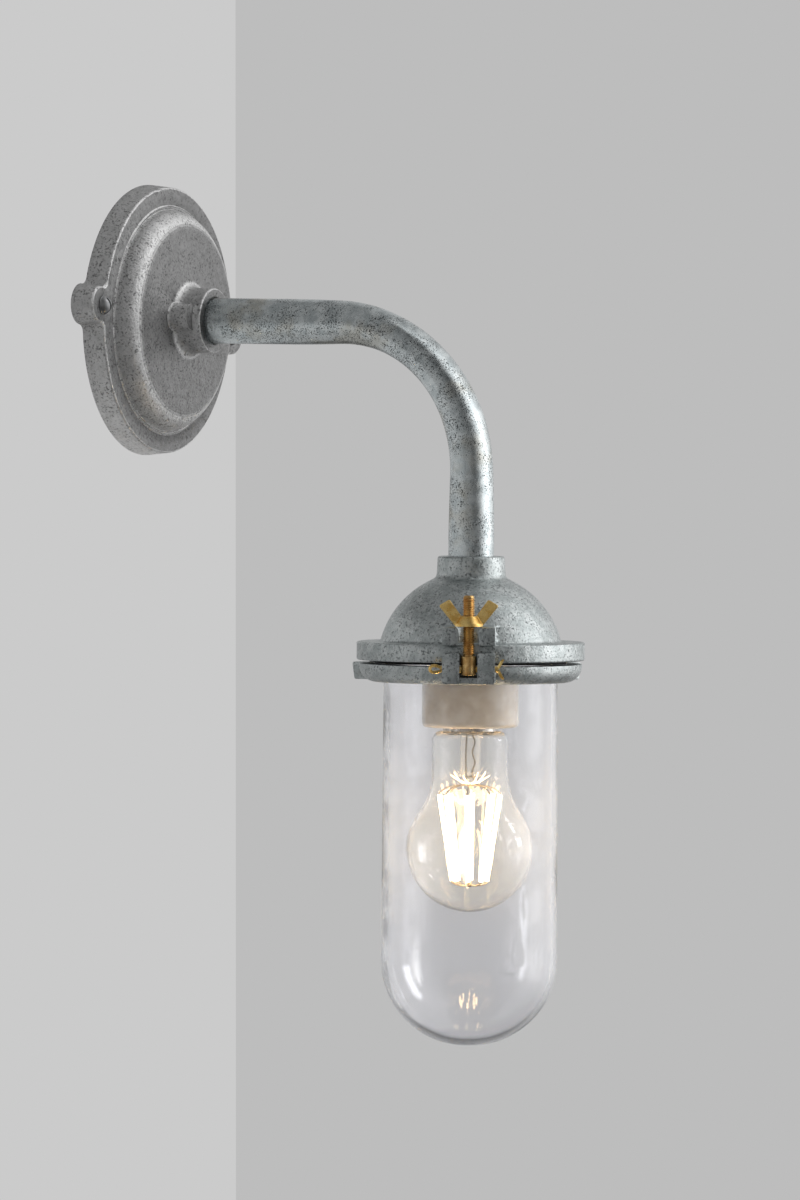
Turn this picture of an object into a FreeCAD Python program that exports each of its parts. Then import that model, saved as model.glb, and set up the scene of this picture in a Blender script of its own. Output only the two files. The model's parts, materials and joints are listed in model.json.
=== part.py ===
import FreeCAD, Part
import math
import os
from FreeCAD import Placement, Rotation, Vector

# Outdoor bracket light: a cast wall plate, a bent pipe and a hanging lamp head with a well glass.
# Lengths are in millimetres. The origin is the centre of the wall plate's back plane, on the
# axis of the pipe. +X points away from the wall and +Z points up.

# Overall layout
arm_reach = 172.0
flange_drop = 147.9
fork_azimuth = -63.5
overrun = 5.0
same_point = 0.0001

# Bracket pipe, half-inch gas pipe
pipe_radius = 10.65
pipe_bore_radius = 8.0
pipe_bend_radius = 69.0
pipe_start = 15.0
pipe_fit = 0.05
pipe_socket_length = 10.8
flattened_share = 0.84
widened_share = 1.04
flattening_shares = [0, 0.08, 0.29, 0.55, 0.83, 0.95, 1, 0.95, 0.8, 0.64, 0.49, 0.26, 0]
run_in_share = 0.52
run_in_stations = 2

# Wall plate
plate_radius = 63.5
plate_depth = 11.0
plate_draft = 1.2
plate_edge_round = 1.4
plate_wall = 4.0
rim_wall = 6.0
plate_band = 11.5
dome_foot_round = 0.4
bead_gap = 0.6
bead_width = 1.5
bead_height = 0.7
bead_round = 0.35
dome_lean = 2.0
dome_height = 20.6
dome_shoulder_round = 11.0
plateau_rise = 2.2
boss_radius = 15.3
boss_height = 35.8
boss_foot_round = 4.5
boss_edge_round = 1.0
boss_back_height = 14.0
boss_mouth_gap = 0.7
boss_mouth_depth = 3.0
lobe_radius = 6.2
lobe_offset = 14.9
lobe_height = 32.0
lobe_foot_radius = 9.0
lobe_foot_height = 24.5

# Screw ears of the wall plate
ear_turn = -7.0
ear_stand_off = 2.5
ear_radius = 9.6
ear_draft = 1.1
ear_edge_chamfer = 0.9
ear_blend = 4.0
wall_screw_radius = 2.4
wall_screw_fit = 0.35
wall_screw_length = 34.0
wall_screw_thread_radius = 2.2
wall_screw_point = 5.0
wall_screw_tip_radius = 0.6
wall_screw_head_radius = 4.65
wall_screw_head_height = 3.6
wall_screw_slot = 1.1
wall_screw_slot_depth = 1.6

# Terminal block in the hollow of the wall plate
block_width = 30.0
block_height = 17.0
block_thickness = 10.5
block_back = 2.5
block_inset = 22.0
block_edge_round = 1.0
pole_pitch = 10.0
clamp_radius = 2.6
clamp_bore_radius = 1.6
clamp_length = 15.0
clamp_screw_radius = 1.2
clamp_screw_spacing = 8.0
block_screw_radius = 1.4
block_screw_head_radius = 2.5
block_screw_head_height = 1.6
block_pad_radius = 5.0

# Leads
lead_radius = 1.3
lead_offset = 3.0
lead_entry = 3.0
lead_turn_radius = 5.0
lead_rise = 4.5
lead_back_step = 1.0
lead_spread_drop = 9.0
lead_spread_start = 8.0

# Lamp head casting
collar_radius = 15.6
collar_flare = 0.5
collar_height = 39.8
collar_edge_round = 1.2
collar_foot_round = 3.0
head_dome_radius = 43.6
head_dome_sink = 11.0
head_dome_start_angle = 16.0
head_dome_end_angle = 63.0
head_wall = 3.6
head_foot_round = 1.5
flange_overhang = 1.1
flange_thickness = 8.5
flange_edge_round = 0.9
socket_radius = 15.0
socket_depth = 15.8
pillar_radius = 4.5
pillar_spacing = 60.0

# Fork prongs of the lamp head
fork_stand_off = 3.9
fork_gap = 9.6
prong_width = 7.4
prong_height = 8.6
prong_overhang = 4.5
prong_inner_round = 2.6
prong_outer_round = 0.8
prong_root = 37.0

# Glass ring
ring_gap = 1.6
ring_height = 8.6
ring_lean = 1.0
ring_bowl_round = 7.5
ring_edge_round = 0.5
cheek_gap = 8.4
cheek_width = 8.0
cheek_top = 3.6
cheek_bottom = 17.9
cheek_round = 1.0
cheek_clearance = 0.6
slot_floor_thickness = 2.7
slot_floor_stand_off = 1.4
lug_stand_off = 4.4
lug_half_width = 5.0
lug_draft = 1.2
lug_bottom_step = 0.5
left_lug_turn = 111.0
right_lug_turn = 122.5

# Gaskets and well glass
ring_wall = 7.0
lip_seat = 3.2
lip_thickness = 4.5
lip_fit = 0.6
lip_edge_round = 1.2
gasket_thickness = 1.2
lower_gasket_thickness = 1.0
gasket_width = 3.4
glass_radius = 41.2
lip_overhang = 3.8
glass_lean = 0.7
glass_wall = 2.8
glass_depth = 188.2
glass_bottom_step = 1.2

# Screws that hold the ring lugs
ring_screw_radius = 2.0
ring_screw_inset = 4.4
ring_screw_head_radius = 3.6
ring_screw_head_height = 2.0
ring_screw_grip = 6.0
ring_screw_fit = 0.1

# Swing bolt, split pin and wing nut
pin_drop = 11.1
pin_radius = 1.5
pin_fit = 0.05
pin_eye_radius = 2.4
pin_eye_wire = 1.1
pin_eye_turn = 45.0
pin_leg_length = 4.5
pin_leg_spread = 60.0
bolt_radius = 2.9
bolt_top = 23.0
bolt_tip_chamfer = 0.6
barrel_radius = 3.65
barrel_top = 4.9
barrel_bottom = 13.8
barrel_round = 0.8
nut_seat_clearance = 0.1
nut_fit = 0.05
nut_base_radius = 6.6
nut_rim_radius = 6.3
nut_rim_height = 1.3
nut_rim_round = 1.0
nut_top_radius = 4.0
nut_height = 4.8
nut_edge_round = 0.5
wing_thickness = 2.3
wing_round = 0.6
wing_root_low = 6.6
wing_root_high = 3.2
wing_root_rise = 0.5
wing_inner_rise = 4.4
wing_tip_out = 13.9
wing_tip_in = 9.0
wing_tip_low_rise = 9.6
wing_tip_high_rise = 12.5

# Porcelain lampholder
holder_radius = 22.65
holder_neck_radius = 21.0
holder_skirt_height = 24.0
holder_bottom = 39.9
holder_top = 0.5
holder_bottom_round = 2.2
holder_top_round = 1.5
shell_radius = 13.75
shell_bore_radius = 13.35
shell_fit = 0.05
shell_mouth_step = 1.5
shell_floor_drop = 13.0
contact_radius = 4.0
contact_thickness = 0.7
contact_post_radius = 1.5

# Strap, terminals and screws above the lampholder
strap_thickness = 1.6
strap_width = 14.0
strap_end_length = 5.5
strap_corner_round = 3.0
strap_screw_radius = 1.9
strap_screw_head_radius = 3.4
strap_screw_head_height = 2.2
strap_screw_grip = 7.0
holder_screw_radius = 1.6
holder_screw_head_radius = 2.9
holder_screw_head_height = 1.9
holder_screw_length = 10.0
holder_screw_spacing = 34.0
screw_fit = 0.1
tapped_fit = 0.05
terminal_spread = 12.5
terminal_length = 7.0
terminal_width = 6.0
terminal_height = 8.0
terminal_screw_radius = 1.3
terminal_screw_stand = 2.2
earth_screw_offset = 10.5
earth_screw_radius = 1.8
earth_screw_head_radius = 3.2
earth_screw_head_height = 2.0

# Bulb
bulb_radius = 29.3
bulb_centre_drop = 96.7
bulb_leave_angle = 34.0
bulb_neck_radius = 17.85
bulb_neck_top = 41.4
bulb_shoulder_round = 4.5
bulb_throat_round = 30.0
bulb_seal_radius = 12.4
bulb_glass_wall = 0.8
cap_radius = 13.0
cap_wall = 0.5
bulb_seal_height = 8.0
cap_top_drop = 19.0
cap_round = 1.5
insulator_radius = 10.5
insulator_tip_radius = 5.2
insulator_height = 3.4
tip_radius = 4.6
tip_round = 0.5
stem_flare_radius = 11.5
stem_flare_height = 3.0
stem_flare_round = 5.0
stem_tube_radius = 4.7
stem_tube_drop = 60.5
stem_radius = 2.6
stem_taper = 3.0
stem_drop = 65.8
filament_count = 8
filament_radius = 1.0
filament_top_drop = 71.4
filament_bottom_drop = 111.4
filament_top_spread = 14.2
filament_bottom_spread = 8.1
support_wire_radius = 0.3
support_ring_drop = 113.4

# Sizes and levels that follow from those above, the levels measured from the top of the flange
dome_foot_radius = plate_radius - plate_band
ear_reach = plate_radius + ear_stand_off
wall_screw_reach = plate_radius
block_drop = dome_foot_radius - block_inset
lip_radius = glass_radius + lip_overhang
ring_radius = lip_radius + ring_wall
flange_radius = ring_radius + flange_overhang
fork_reach = flange_radius + fork_stand_off
lug_reach = flange_radius + lug_stand_off
slot_floor_reach = flange_radius + slot_floor_stand_off
ring_screw_reach = flange_radius - ring_screw_inset
ring_bore_radius = lip_radius - lip_seat
gasket_bore_radius = lip_radius - gasket_width
glass_top_radius = glass_radius - glass_lean
glass_bottom_round = glass_radius - glass_bottom_step
ring_top = -flange_thickness - ring_gap
ring_bottom = ring_top - ring_height
lip_top = -flange_thickness - gasket_thickness
lip_bottom = lip_top - lip_thickness
recess_floor = lip_bottom - lower_gasket_thickness
tip_top = -shell_floor_drop - contact_thickness
pin_to_seat = pin_drop + prong_height


def rounded_wire(corners, closed):
    # Straight runs between the corners, each corner rounded by an arc of its own radius
    count = len(corners)
    bends = []
    for index in range(count):
        point, radius = corners[index]
        is_end = not closed and index in (0, count - 1)
        if radius == 0 or is_end:
            bends.append((point, point, point))
            continue
        back = (corners[index - 1][0] - point).normalize()
        ahead = (corners[(index + 1) % count][0] - point).normalize()
        half_angle = back.getAngle(ahead) / 2
        bisector = (back + ahead).normalize()
        centre = point + bisector * (radius / math.sin(half_angle))
        setback = radius / math.tan(half_angle)
        bends.append((point + back * setback, centre - bisector * radius, point + ahead * setback))
    edges = []
    for index in range(count):
        enter, middle, leave = bends[index]
        if not enter.isEqual(leave, same_point):
            edges.append(Part.Arc(enter, middle, leave).toShape())
        if not closed and index == count - 1:
            continue
        following = bends[(index + 1) % count][0]
        if not leave.isEqual(following, same_point):
            edges.append(Part.LineSegment(leave, following).toShape())
    return Part.Wire(edges)


def turned_about_z(outline):
    # Solid of revolution from corners given as (radius, height, rounding)
    corners = [(Vector(radius, 0, height), rounding) for radius, height, rounding in outline]
    return Part.Face(rounded_wire(corners, True)).revolve(Vector(), Vector(0, 0, 1), 360)


def turned_about_x(outline):
    # Solid of revolution from corners given as (distance along, radius, rounding)
    corners = [(Vector(along, 0, radius), rounding) for along, radius, rounding in outline]
    return Part.Face(rounded_wire(corners, True)).revolve(Vector(), Vector(1, 0, 0), 360)


def slab(corners, thickness_vector):
    # Extrusion of a flat outline given as (point, rounding)
    return Part.Face(rounded_wire(corners, True)).extrude(thickness_vector)


def rod(radius, start, end):
    # Round bar between two points
    run = end - start
    return Part.makeCylinder(radius, run.Length, start, run)


def block(low, high):
    # Plain block between two corners
    size = high - low
    return Part.makeBox(size.x, size.y, size.z, low)


def joined(shapes):
    return shapes[0].fuse(shapes[1:]).removeSplitter()


def group(shapes):
    # Separate solids that share one node
    solids = []
    for shape in shapes:
        solids.extend(shape.Solids)
    return Part.Compound(solids)


def turned_in_plan(shape, degrees):
    moved = shape.copy()
    moved.rotate(Vector(), Vector(0, 0, 1), degrees)
    return moved


def hung(shape, degrees=0):
    # From the lamp head's own frame, flange top at zero, to the part's frame
    moved = turned_in_plan(shape, degrees)
    moved.translate(Vector(arm_reach, 0, -flange_drop))
    return moved


def arc_corner(centre_height, radius, low_angle, high_angle):
    # Corner whose rounding is the arc of a circle on the axis between two angles
    middle = math.radians((low_angle + high_angle) / 2)
    half = math.radians((high_angle - low_angle) / 2)
    reach = radius / math.cos(half)
    return reach * math.cos(middle), centre_height + reach * math.sin(middle)


def tangent_at_height(centre_height, radius, angle, height):
    # Radius at which the tangent to that circle passes a height
    turn = math.radians(angle)
    along = (height - centre_height - radius * math.sin(turn)) / math.cos(turn)
    return radius * math.cos(turn) - along * math.sin(turn)


def tangent_at_radius(centre_height, radius, angle, reach):
    # Height at which the tangent to that circle passes a radius
    turn = math.radians(angle)
    along = (radius * math.cos(turn) - reach) / math.sin(turn)
    return centre_height + radius * math.sin(turn) + along * math.cos(turn)


def slotted_head(radius, height, slot_width, slot_depth):
    # Round screw head on the XY plane with a screwdriver slot across its top
    ball = sphere_radius_of(radius, height)
    crown = Part.makeSphere(ball, Vector(0, 0, height - ball))
    keep = Part.makeCylinder(radius, height + overrun)
    slot_low = Vector(-radius - overrun, -slot_width / 2, height - slot_depth)
    slot_high = Vector(radius + overrun, slot_width / 2, height + overrun)
    return crown.common(keep).cut(block(slot_low, slot_high))


def sphere_radius_of(radius, height):
    # Radius of the sphere whose cap has this radius and height
    return (radius ** 2 + height ** 2) / (2 * height)


# Wall plate

def plate_shell():
    # Rim, flat band, raised dome, plateau and boss, with the hollow behind them
    rim_front = plate_radius - plate_draft
    foot = dome_foot_radius
    dome_top = foot - dome_lean
    plateau_top = dome_height + plateau_rise
    inner_rim = plate_radius - rim_wall
    inner_band = plate_depth - plate_wall
    bore = pipe_radius + pipe_fit
    mouth = pipe_radius + boss_mouth_gap
    bead_in = foot + bead_gap
    bead_out = bead_in + bead_width
    bead_top = plate_depth + bead_height
    return turned_about_x([
        (0, inner_rim, 0),
        (0, plate_radius, 0),
        (plate_depth, rim_front, plate_edge_round),
        (plate_depth, bead_out, 0),
        (bead_top, bead_out - bead_round, bead_round),
        (bead_top, bead_in + bead_round, bead_round),
        (plate_depth, bead_in, 0),
        (plate_depth, foot, dome_foot_round),
        (dome_height, dome_top, dome_shoulder_round),
        (plateau_top, boss_radius, boss_foot_round),
        (boss_height, boss_radius, boss_edge_round),
        (boss_height, mouth, 0),
        (boss_height - boss_mouth_depth, mouth, 0),
        (boss_height - boss_mouth_depth, bore, 0),
        (boss_back_height, bore, 0),
        (boss_back_height, boss_radius, boss_edge_round),
        (plateau_top - plate_wall, boss_radius, 0),
        (dome_height - plate_wall, dome_top - plate_wall, dome_shoulder_round - plate_wall),
        (inner_band, foot - plate_wall, 0),
        (inner_band, inner_rim, 0),
    ])


def ear_section(along, rim, tip):
    # Outline of one ear at a distance from the wall, blended into the round rim
    far = rim + ear_blend
    near = tip + ear_blend
    out = (far ** 2 - near ** 2 + ear_reach ** 2) / (2 * ear_reach)
    side = math.sqrt(far ** 2 - out ** 2)
    rim_share = rim / far
    tip_share = tip / near
    root = plate_radius - rim_wall + plate_edge_round
    rim_touch = Vector(along, out * rim_share, side * rim_share)
    tip_touch = Vector(along, ear_reach + (out - ear_reach) * tip_share, side * tip_share)
    blend_centre = Vector(along, out, side)
    inward = (rim_touch + tip_touch - blend_centre * 2).normalize()
    blend_middle = blend_centre + inward * ear_blend
    end = Vector(along, ear_reach + tip, 0)

    def mirrored(point):
        return Vector(point.x, point.y, -point.z)

    root_high = Vector(along, root, rim_touch.z)
    return Part.Wire([
        Part.Arc(rim_touch, blend_middle, tip_touch).toShape(),
        Part.Arc(tip_touch, end, mirrored(tip_touch)).toShape(),
        Part.Arc(mirrored(tip_touch), mirrored(blend_middle), mirrored(rim_touch)).toShape(),
        Part.LineSegment(mirrored(rim_touch), mirrored(root_high)).toShape(),
        Part.LineSegment(mirrored(root_high), root_high).toShape(),
        Part.LineSegment(root_high, rim_touch).toShape(),
    ])


def screw_ear():
    front = plate_depth - ear_edge_chamfer
    return Part.makeLoft([
        ear_section(0, plate_radius, ear_radius),
        ear_section(front, plate_radius - plate_draft, ear_radius - ear_draft),
        ear_section(plate_depth, plate_radius - plate_draft - ear_edge_chamfer,
                    ear_radius - ear_draft - ear_edge_chamfer),
    ], True, True)


def at_ears(shape):
    # The same piece at both ears
    copies = []
    for half_turn in (0, 180):
        copy = shape.copy()
        copy.rotate(Vector(), Vector(1, 0, 0), ear_turn + half_turn)
        copies.append(copy)
    return copies


def side_lobe():
    # Round lobe beside the boss, standing on a wider foot
    base = dome_height - plate_wall / 2
    lobe = rod(lobe_radius, Vector(base, lobe_offset, 0), Vector(lobe_height, lobe_offset, 0))
    foot = Part.makeCone(lobe_foot_radius, lobe_radius, lobe_foot_height - base,
                         Vector(base, lobe_offset, 0), Vector(1, 0, 0))
    return joined([lobe, foot])


def wall_plate():
    plate = joined([plate_shell()] + at_ears(screw_ear()) + at_ears(side_lobe()))
    bore = rod(pipe_radius + pipe_fit, Vector(0, 0, 0), Vector(boss_height + overrun, 0, 0))
    mouth = rod(pipe_radius + boss_mouth_gap, Vector(boss_height - boss_mouth_depth, 0, 0),
                Vector(boss_height + overrun, 0, 0))
    hole = rod(wall_screw_radius + wall_screw_fit, Vector(-overrun, wall_screw_reach, 0),
               Vector(plate_depth + overrun, wall_screw_reach, 0))
    pad = rod(block_pad_radius, Vector(block_back + block_thickness, 0, -block_drop),
              Vector(dome_height - plate_wall / 2, 0, -block_drop))
    pad_hole = rod(block_screw_radius, Vector(0, 0, -block_drop),
                   Vector(dome_height - plate_wall / 2, 0, -block_drop))
    plate = plate.cut([bore, mouth] + at_ears(hole))
    return joined([plate, pad]).cut(pad_hole)


def wall_screws():
    # Round-head slotted screws, their shanks standing out behind the plate
    head = slotted_head(wall_screw_head_radius, wall_screw_head_height,
                        wall_screw_slot, wall_screw_slot_depth)
    point_start = Vector(0, 0, wall_screw_point - wall_screw_length)
    back = Vector(0, 0, -plate_depth)
    shank = rod(wall_screw_radius, Vector(), back)
    thread = rod(wall_screw_thread_radius, back, point_start)
    point = Part.makeCone(wall_screw_thread_radius, wall_screw_tip_radius, wall_screw_point,
                          point_start, Vector(0, 0, -1))
    screw = joined([head, shank, thread, point])
    screw.Placement = Placement(Vector(plate_depth, wall_screw_reach, 0),
                                Rotation(Vector(0, 1, 0), 90))
    return group(at_ears(screw))


# Terminal block behind the plate

def pole_places():
    return [-pole_pitch, 0, pole_pitch]


def terminal_block():
    low = -block_drop - block_height / 2
    high = -block_drop + block_height / 2
    half = block_width / 2
    corners = [
        (Vector(block_back, -half, low), block_edge_round),
        (Vector(block_back, half, low), block_edge_round),
        (Vector(block_back, half, high), block_edge_round),
        (Vector(block_back, -half, high), block_edge_round),
    ]
    body = slab(corners, Vector(block_thickness, 0, 0))
    cuts = []
    for place in pole_places():
        cuts.append(rod(clamp_radius + screw_fit, Vector(clamp_along(), place, low - overrun),
                        Vector(clamp_along(), place, high + overrun)))
        for height in clamp_screw_heights():
            cuts.append(rod(clamp_screw_radius + screw_fit, Vector(block_back - overrun, place, height),
                            Vector(clamp_along(), place, height)))
    for place in (-pole_pitch / 2, pole_pitch / 2):
        cuts.append(rod(block_screw_radius + screw_fit, Vector(block_back - overrun, place, -block_drop),
                        Vector(block_back + block_thickness + overrun, place, -block_drop)))
    return body.cut(cuts)


def clamp_along():
    return block_back + block_thickness / 2


def clamp_screw_heights():
    return [-block_drop - clamp_screw_spacing / 2, -block_drop + clamp_screw_spacing / 2]


def block_clamps():
    clamps = []
    for place in pole_places():
        low = Vector(clamp_along(), place, -block_drop - clamp_length / 2)
        high = Vector(clamp_along(), place, -block_drop + clamp_length / 2)
        clamps.append(rod(clamp_radius, low, high).cut(rod(clamp_bore_radius, low, high)))
    return group(clamps)


def clamp_screws():
    screws = []
    for place in pole_places():
        for height in clamp_screw_heights():
            screws.append(rod(clamp_screw_radius, Vector(block_back, place, height),
                              Vector(clamp_along() - clamp_radius, place, height)))
    return group(screws)


def block_screw():
    # One screw between two poles, into the cast pad
    seat = Vector(block_back, -pole_pitch / 2, -block_drop)
    head = rod(block_screw_head_radius, seat - Vector(block_screw_head_height, 0, 0), seat)
    shank = rod(block_screw_radius, seat, seat + Vector(block_thickness, 0, 0))
    return joined([head, shank])


# Bracket pipe

def pipe_end_drop():
    return flange_drop - collar_height + pipe_socket_length


def pipe_stations():
    # Places along the bend and a little before and after it, with the way the pipe runs there
    bend_start = arm_reach - pipe_bend_radius
    run_in = run_in_share * (pipe_end_drop() - pipe_bend_radius) / run_in_stations
    steps = len(flattening_shares) - 1 - 2 * run_in_stations
    stations = []
    for index, share in enumerate(flattening_shares):
        step = index - run_in_stations
        if step < 0:
            centre = Vector(bend_start + step * run_in, 0, 0)
            ahead = Vector(1, 0, 0)
        elif step > steps:
            centre = Vector(arm_reach, 0, -pipe_bend_radius - (step - steps) * run_in)
            ahead = Vector(0, 0, -1)
        else:
            turn = math.radians(90 * step / steps)
            centre = Vector(bend_start + pipe_bend_radius * math.sin(turn), 0,
                            pipe_bend_radius * (math.cos(turn) - 1))
            ahead = Vector(math.cos(turn), 0, -math.sin(turn))
        stations.append((centre, ahead, share))
    return stations


def pipe_section(centre, ahead, in_plane, sideways):
    # Ellipse square to the pipe, its long axis level with Y
    across = Vector(0, 1, 0)
    upright = ahead.cross(across)
    frame = FreeCAD.Matrix(across.x, upright.x, ahead.x, centre.x,
                           across.y, upright.y, ahead.y, centre.y,
                           across.z, upright.z, ahead.z, centre.z,
                           0, 0, 0, 1)
    edge = Part.Ellipse(Vector(), sideways, in_plane).toShape()
    edge.Placement = Placement(frame)
    return Part.Wire([edge])


def bend_form(wall):
    # The pipe keeps its wall while the bend flattens it in the plane of the bend
    sections = []
    for centre, ahead, share in pipe_stations():
        in_plane = pipe_radius * (1 - (1 - flattened_share) * share)
        sideways = pipe_radius * (1 + (widened_share - 1) * share)
        sections.append(pipe_section(centre, ahead, in_plane - wall, sideways - wall))
    return Part.makeLoft(sections, True, False)


def straight_pipe(start, end):
    return rod(pipe_radius, start, end).cut(rod(pipe_bore_radius, start, end))


def bracket_pipe():
    stations = pipe_stations()
    pipe_end = Vector(arm_reach, 0, -pipe_end_drop())
    level_run = straight_pipe(Vector(pipe_start, 0, 0), stations[0][0])
    bend = bend_form(0).cut(bend_form(pipe_radius - pipe_bore_radius))
    drop_run = straight_pipe(stations[-1][0], pipe_end)
    return level_run.fuse([bend, drop_run])


# Leads in the pipe

def lead(pole, clock_angle, head_end):
    # From a pole of the block, through the pipe, to its screw in the lamp head
    side = lead_offset * math.sin(math.radians(clock_angle))
    rise = lead_offset * math.cos(math.radians(clock_angle))
    block_top = -block_drop + block_height / 2
    bend_start = arm_reach - pipe_bend_radius
    socket_end = -flange_drop + collar_height - socket_depth
    turn_along = clamp_along() - lead_back_step
    bend_radius = pipe_bend_radius + rise
    corners = [
        (Vector(clamp_along(), pole, block_top - lead_entry), 0),
        (Vector(clamp_along(), pole, block_top + lead_rise), lead_turn_radius),
        (Vector(turn_along, side, rise), lead_turn_radius),
        (Vector(arm_reach + rise, side, rise), bend_radius),
        (Vector(arm_reach + rise, side, socket_end), lead_spread_start),
        (Vector(head_end.x, head_end.y, socket_end - lead_spread_drop), lead_turn_radius),
        (head_end, 0),
    ]
    path = rounded_wire(corners, False)
    section = Part.Wire([Part.Circle(corners[0][0], Vector(0, 0, 1), lead_radius).toShape()])
    return path.makePipeShell([section], True, False)


def terminal_mouth(side):
    level = holder_top + terminal_height - lead_entry
    return Vector(arm_reach, side * terminal_spread, level - flange_drop)


def earth_mouth():
    level = holder_top + strap_thickness + earth_screw_head_height + lead_entry / 2
    return Vector(arm_reach + earth_screw_offset + lead_radius, 0, level - flange_drop)


# Lamp head

def head_shell():
    # Flange, dome and pipe collar
    sink = -head_dome_sink
    low_angle = head_dome_start_angle
    high_angle = head_dome_end_angle
    corner_radius, corner_height = arc_corner(sink, head_dome_radius, low_angle, high_angle)
    foot = tangent_at_height(sink, head_dome_radius, low_angle, 0)
    crown = tangent_at_radius(sink, head_dome_radius, high_angle, collar_radius)
    return turned_about_z([
        (0, -flange_thickness, 0),
        (flange_radius, -flange_thickness, flange_edge_round),
        (flange_radius, 0, flange_edge_round),
        (foot, 0, head_foot_round),
        (corner_radius, corner_height, head_dome_radius),
        (collar_radius + collar_flare, crown, collar_foot_round),
        (collar_radius, collar_height, collar_edge_round),
        (0, collar_height, 0),
    ])


def head_hollow(inset, floor):
    # Round space under the dome, or with a smaller inset the middle of its wall
    sink = -head_dome_sink
    ball = Part.makeSphere(head_dome_radius - inset, Vector(0, 0, sink))
    low = Vector(-flange_radius, -flange_radius, floor)
    high = Vector(flange_radius, flange_radius, collar_height)
    straight = Part.makeCylinder(math.sqrt((head_dome_radius - inset) ** 2 - head_dome_sink ** 2),
                                 -floor, Vector(0, 0, floor))
    return joined([ball.common(block(Vector(low.x, low.y, 0), high)), straight])


def fork_prong():
    # One prong: a rib from the dome to past the bolt, its top an arc about the pin
    inner = fork_gap / 2
    outer = inner + prong_width
    reach = fork_reach + prong_overhang
    across = slab([
        (Vector(prong_root, inner, 0), 0),
        (Vector(prong_root, outer, 0), 0),
        (Vector(prong_root, outer, prong_height), prong_outer_round),
        (Vector(prong_root, inner, prong_height), prong_inner_round),
    ], Vector(reach - prong_root, 0, 0))
    pin = Vector(fork_reach, 0, -pin_drop)
    swept = Part.makeCylinder(pin_to_seat, outer, pin, Vector(0, 1, 0))
    inward = block(Vector(0, 0, 0), Vector(fork_reach, outer, prong_height))
    return across.common(joined([swept, inward]))


def mirrored_in_y(shape):
    return shape.mirror(Vector(), Vector(0, 1, 0))


def lamp_head():
    hollow = head_hollow(head_wall, -flange_thickness - overrun)
    prong = fork_prong().cut(hollow)
    prongs = [turned_in_plan(prong, fork_azimuth), turned_in_plan(mirrored_in_y(prong), fork_azimuth)]
    middle_of_wall = head_hollow(head_wall / 2, -flange_thickness)
    strap_top = holder_top + strap_thickness
    pillars = []
    holes = []
    for side in (-pillar_spacing / 2, pillar_spacing / 2):
        pillar = rod(pillar_radius, Vector(side, 0, strap_top), Vector(side, 0, collar_height))
        pillars.append(pillar.common(middle_of_wall))
        holes.append(rod(strap_screw_radius + tapped_fit, Vector(side, 0, strap_top),
                         Vector(side, 0, strap_top + strap_screw_grip)))
    for turn in (left_lug_turn, -right_lug_turn):
        place = lug_place(turn)
        holes.append(rod(ring_screw_radius + tapped_fit, place + Vector(0, 0, -flange_thickness),
                         place + Vector(0, 0, ring_screw_grip - flange_thickness)))
    socket = rod(socket_radius, Vector(0, 0, collar_height - socket_depth),
                 Vector(0, 0, head_dome_radius - head_dome_sink - head_wall / 2))
    bore = rod(pipe_radius + pipe_fit, Vector(0, 0, 0), Vector(0, 0, collar_height + overrun))
    shell = head_shell().cut(hollow)
    return joined([shell, socket] + prongs + pillars).cut([bore] + holes)


def lug_place(turn):
    # Screw centre in a block lug, at a turn from the fork
    angle = math.radians(fork_azimuth - turn)
    return Vector(ring_screw_reach * math.cos(angle), ring_screw_reach * math.sin(angle), 0)


# Glass ring and what it clamps

def ring_cheek():
    # One of the two cheeks that hold the pin, clear of the flange above the ring
    inner = cheek_gap / 2
    outer = inner + cheek_width
    reach = fork_reach + prong_overhang
    root = ring_bore_radius
    across = slab([
        (Vector(root, inner, -cheek_bottom), 0),
        (Vector(root, outer, -cheek_bottom), cheek_round),
        (Vector(root, outer, -cheek_top), cheek_round),
        (Vector(root, inner, -cheek_top), cheek_round),
    ], Vector(reach - root, 0, 0))
    flange_room = Part.makeCylinder(flange_radius + cheek_clearance, -ring_top + overrun,
                                    Vector(0, 0, ring_top))
    hole = rod(pin_radius + pin_fit, Vector(fork_reach, 0, -pin_drop),
               Vector(fork_reach, outer + overrun, -pin_drop))
    return across.cut([flange_room, hole])


def block_lug():
    # Block that keeps its upright outer face down to the bottom of the ring
    low = ring_bottom + lug_bottom_step
    corners = [
        (Vector(ring_bore_radius, -lug_half_width, ring_top), 0),
        (Vector(lug_reach, -lug_half_width, ring_top), cheek_round),
        (Vector(lug_reach - lug_draft, -lug_half_width, low), cheek_round),
        (Vector(ring_bore_radius, -lug_half_width, low), 0),
    ]
    return slab(corners, Vector(0, lug_half_width * 2, 0))


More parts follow.
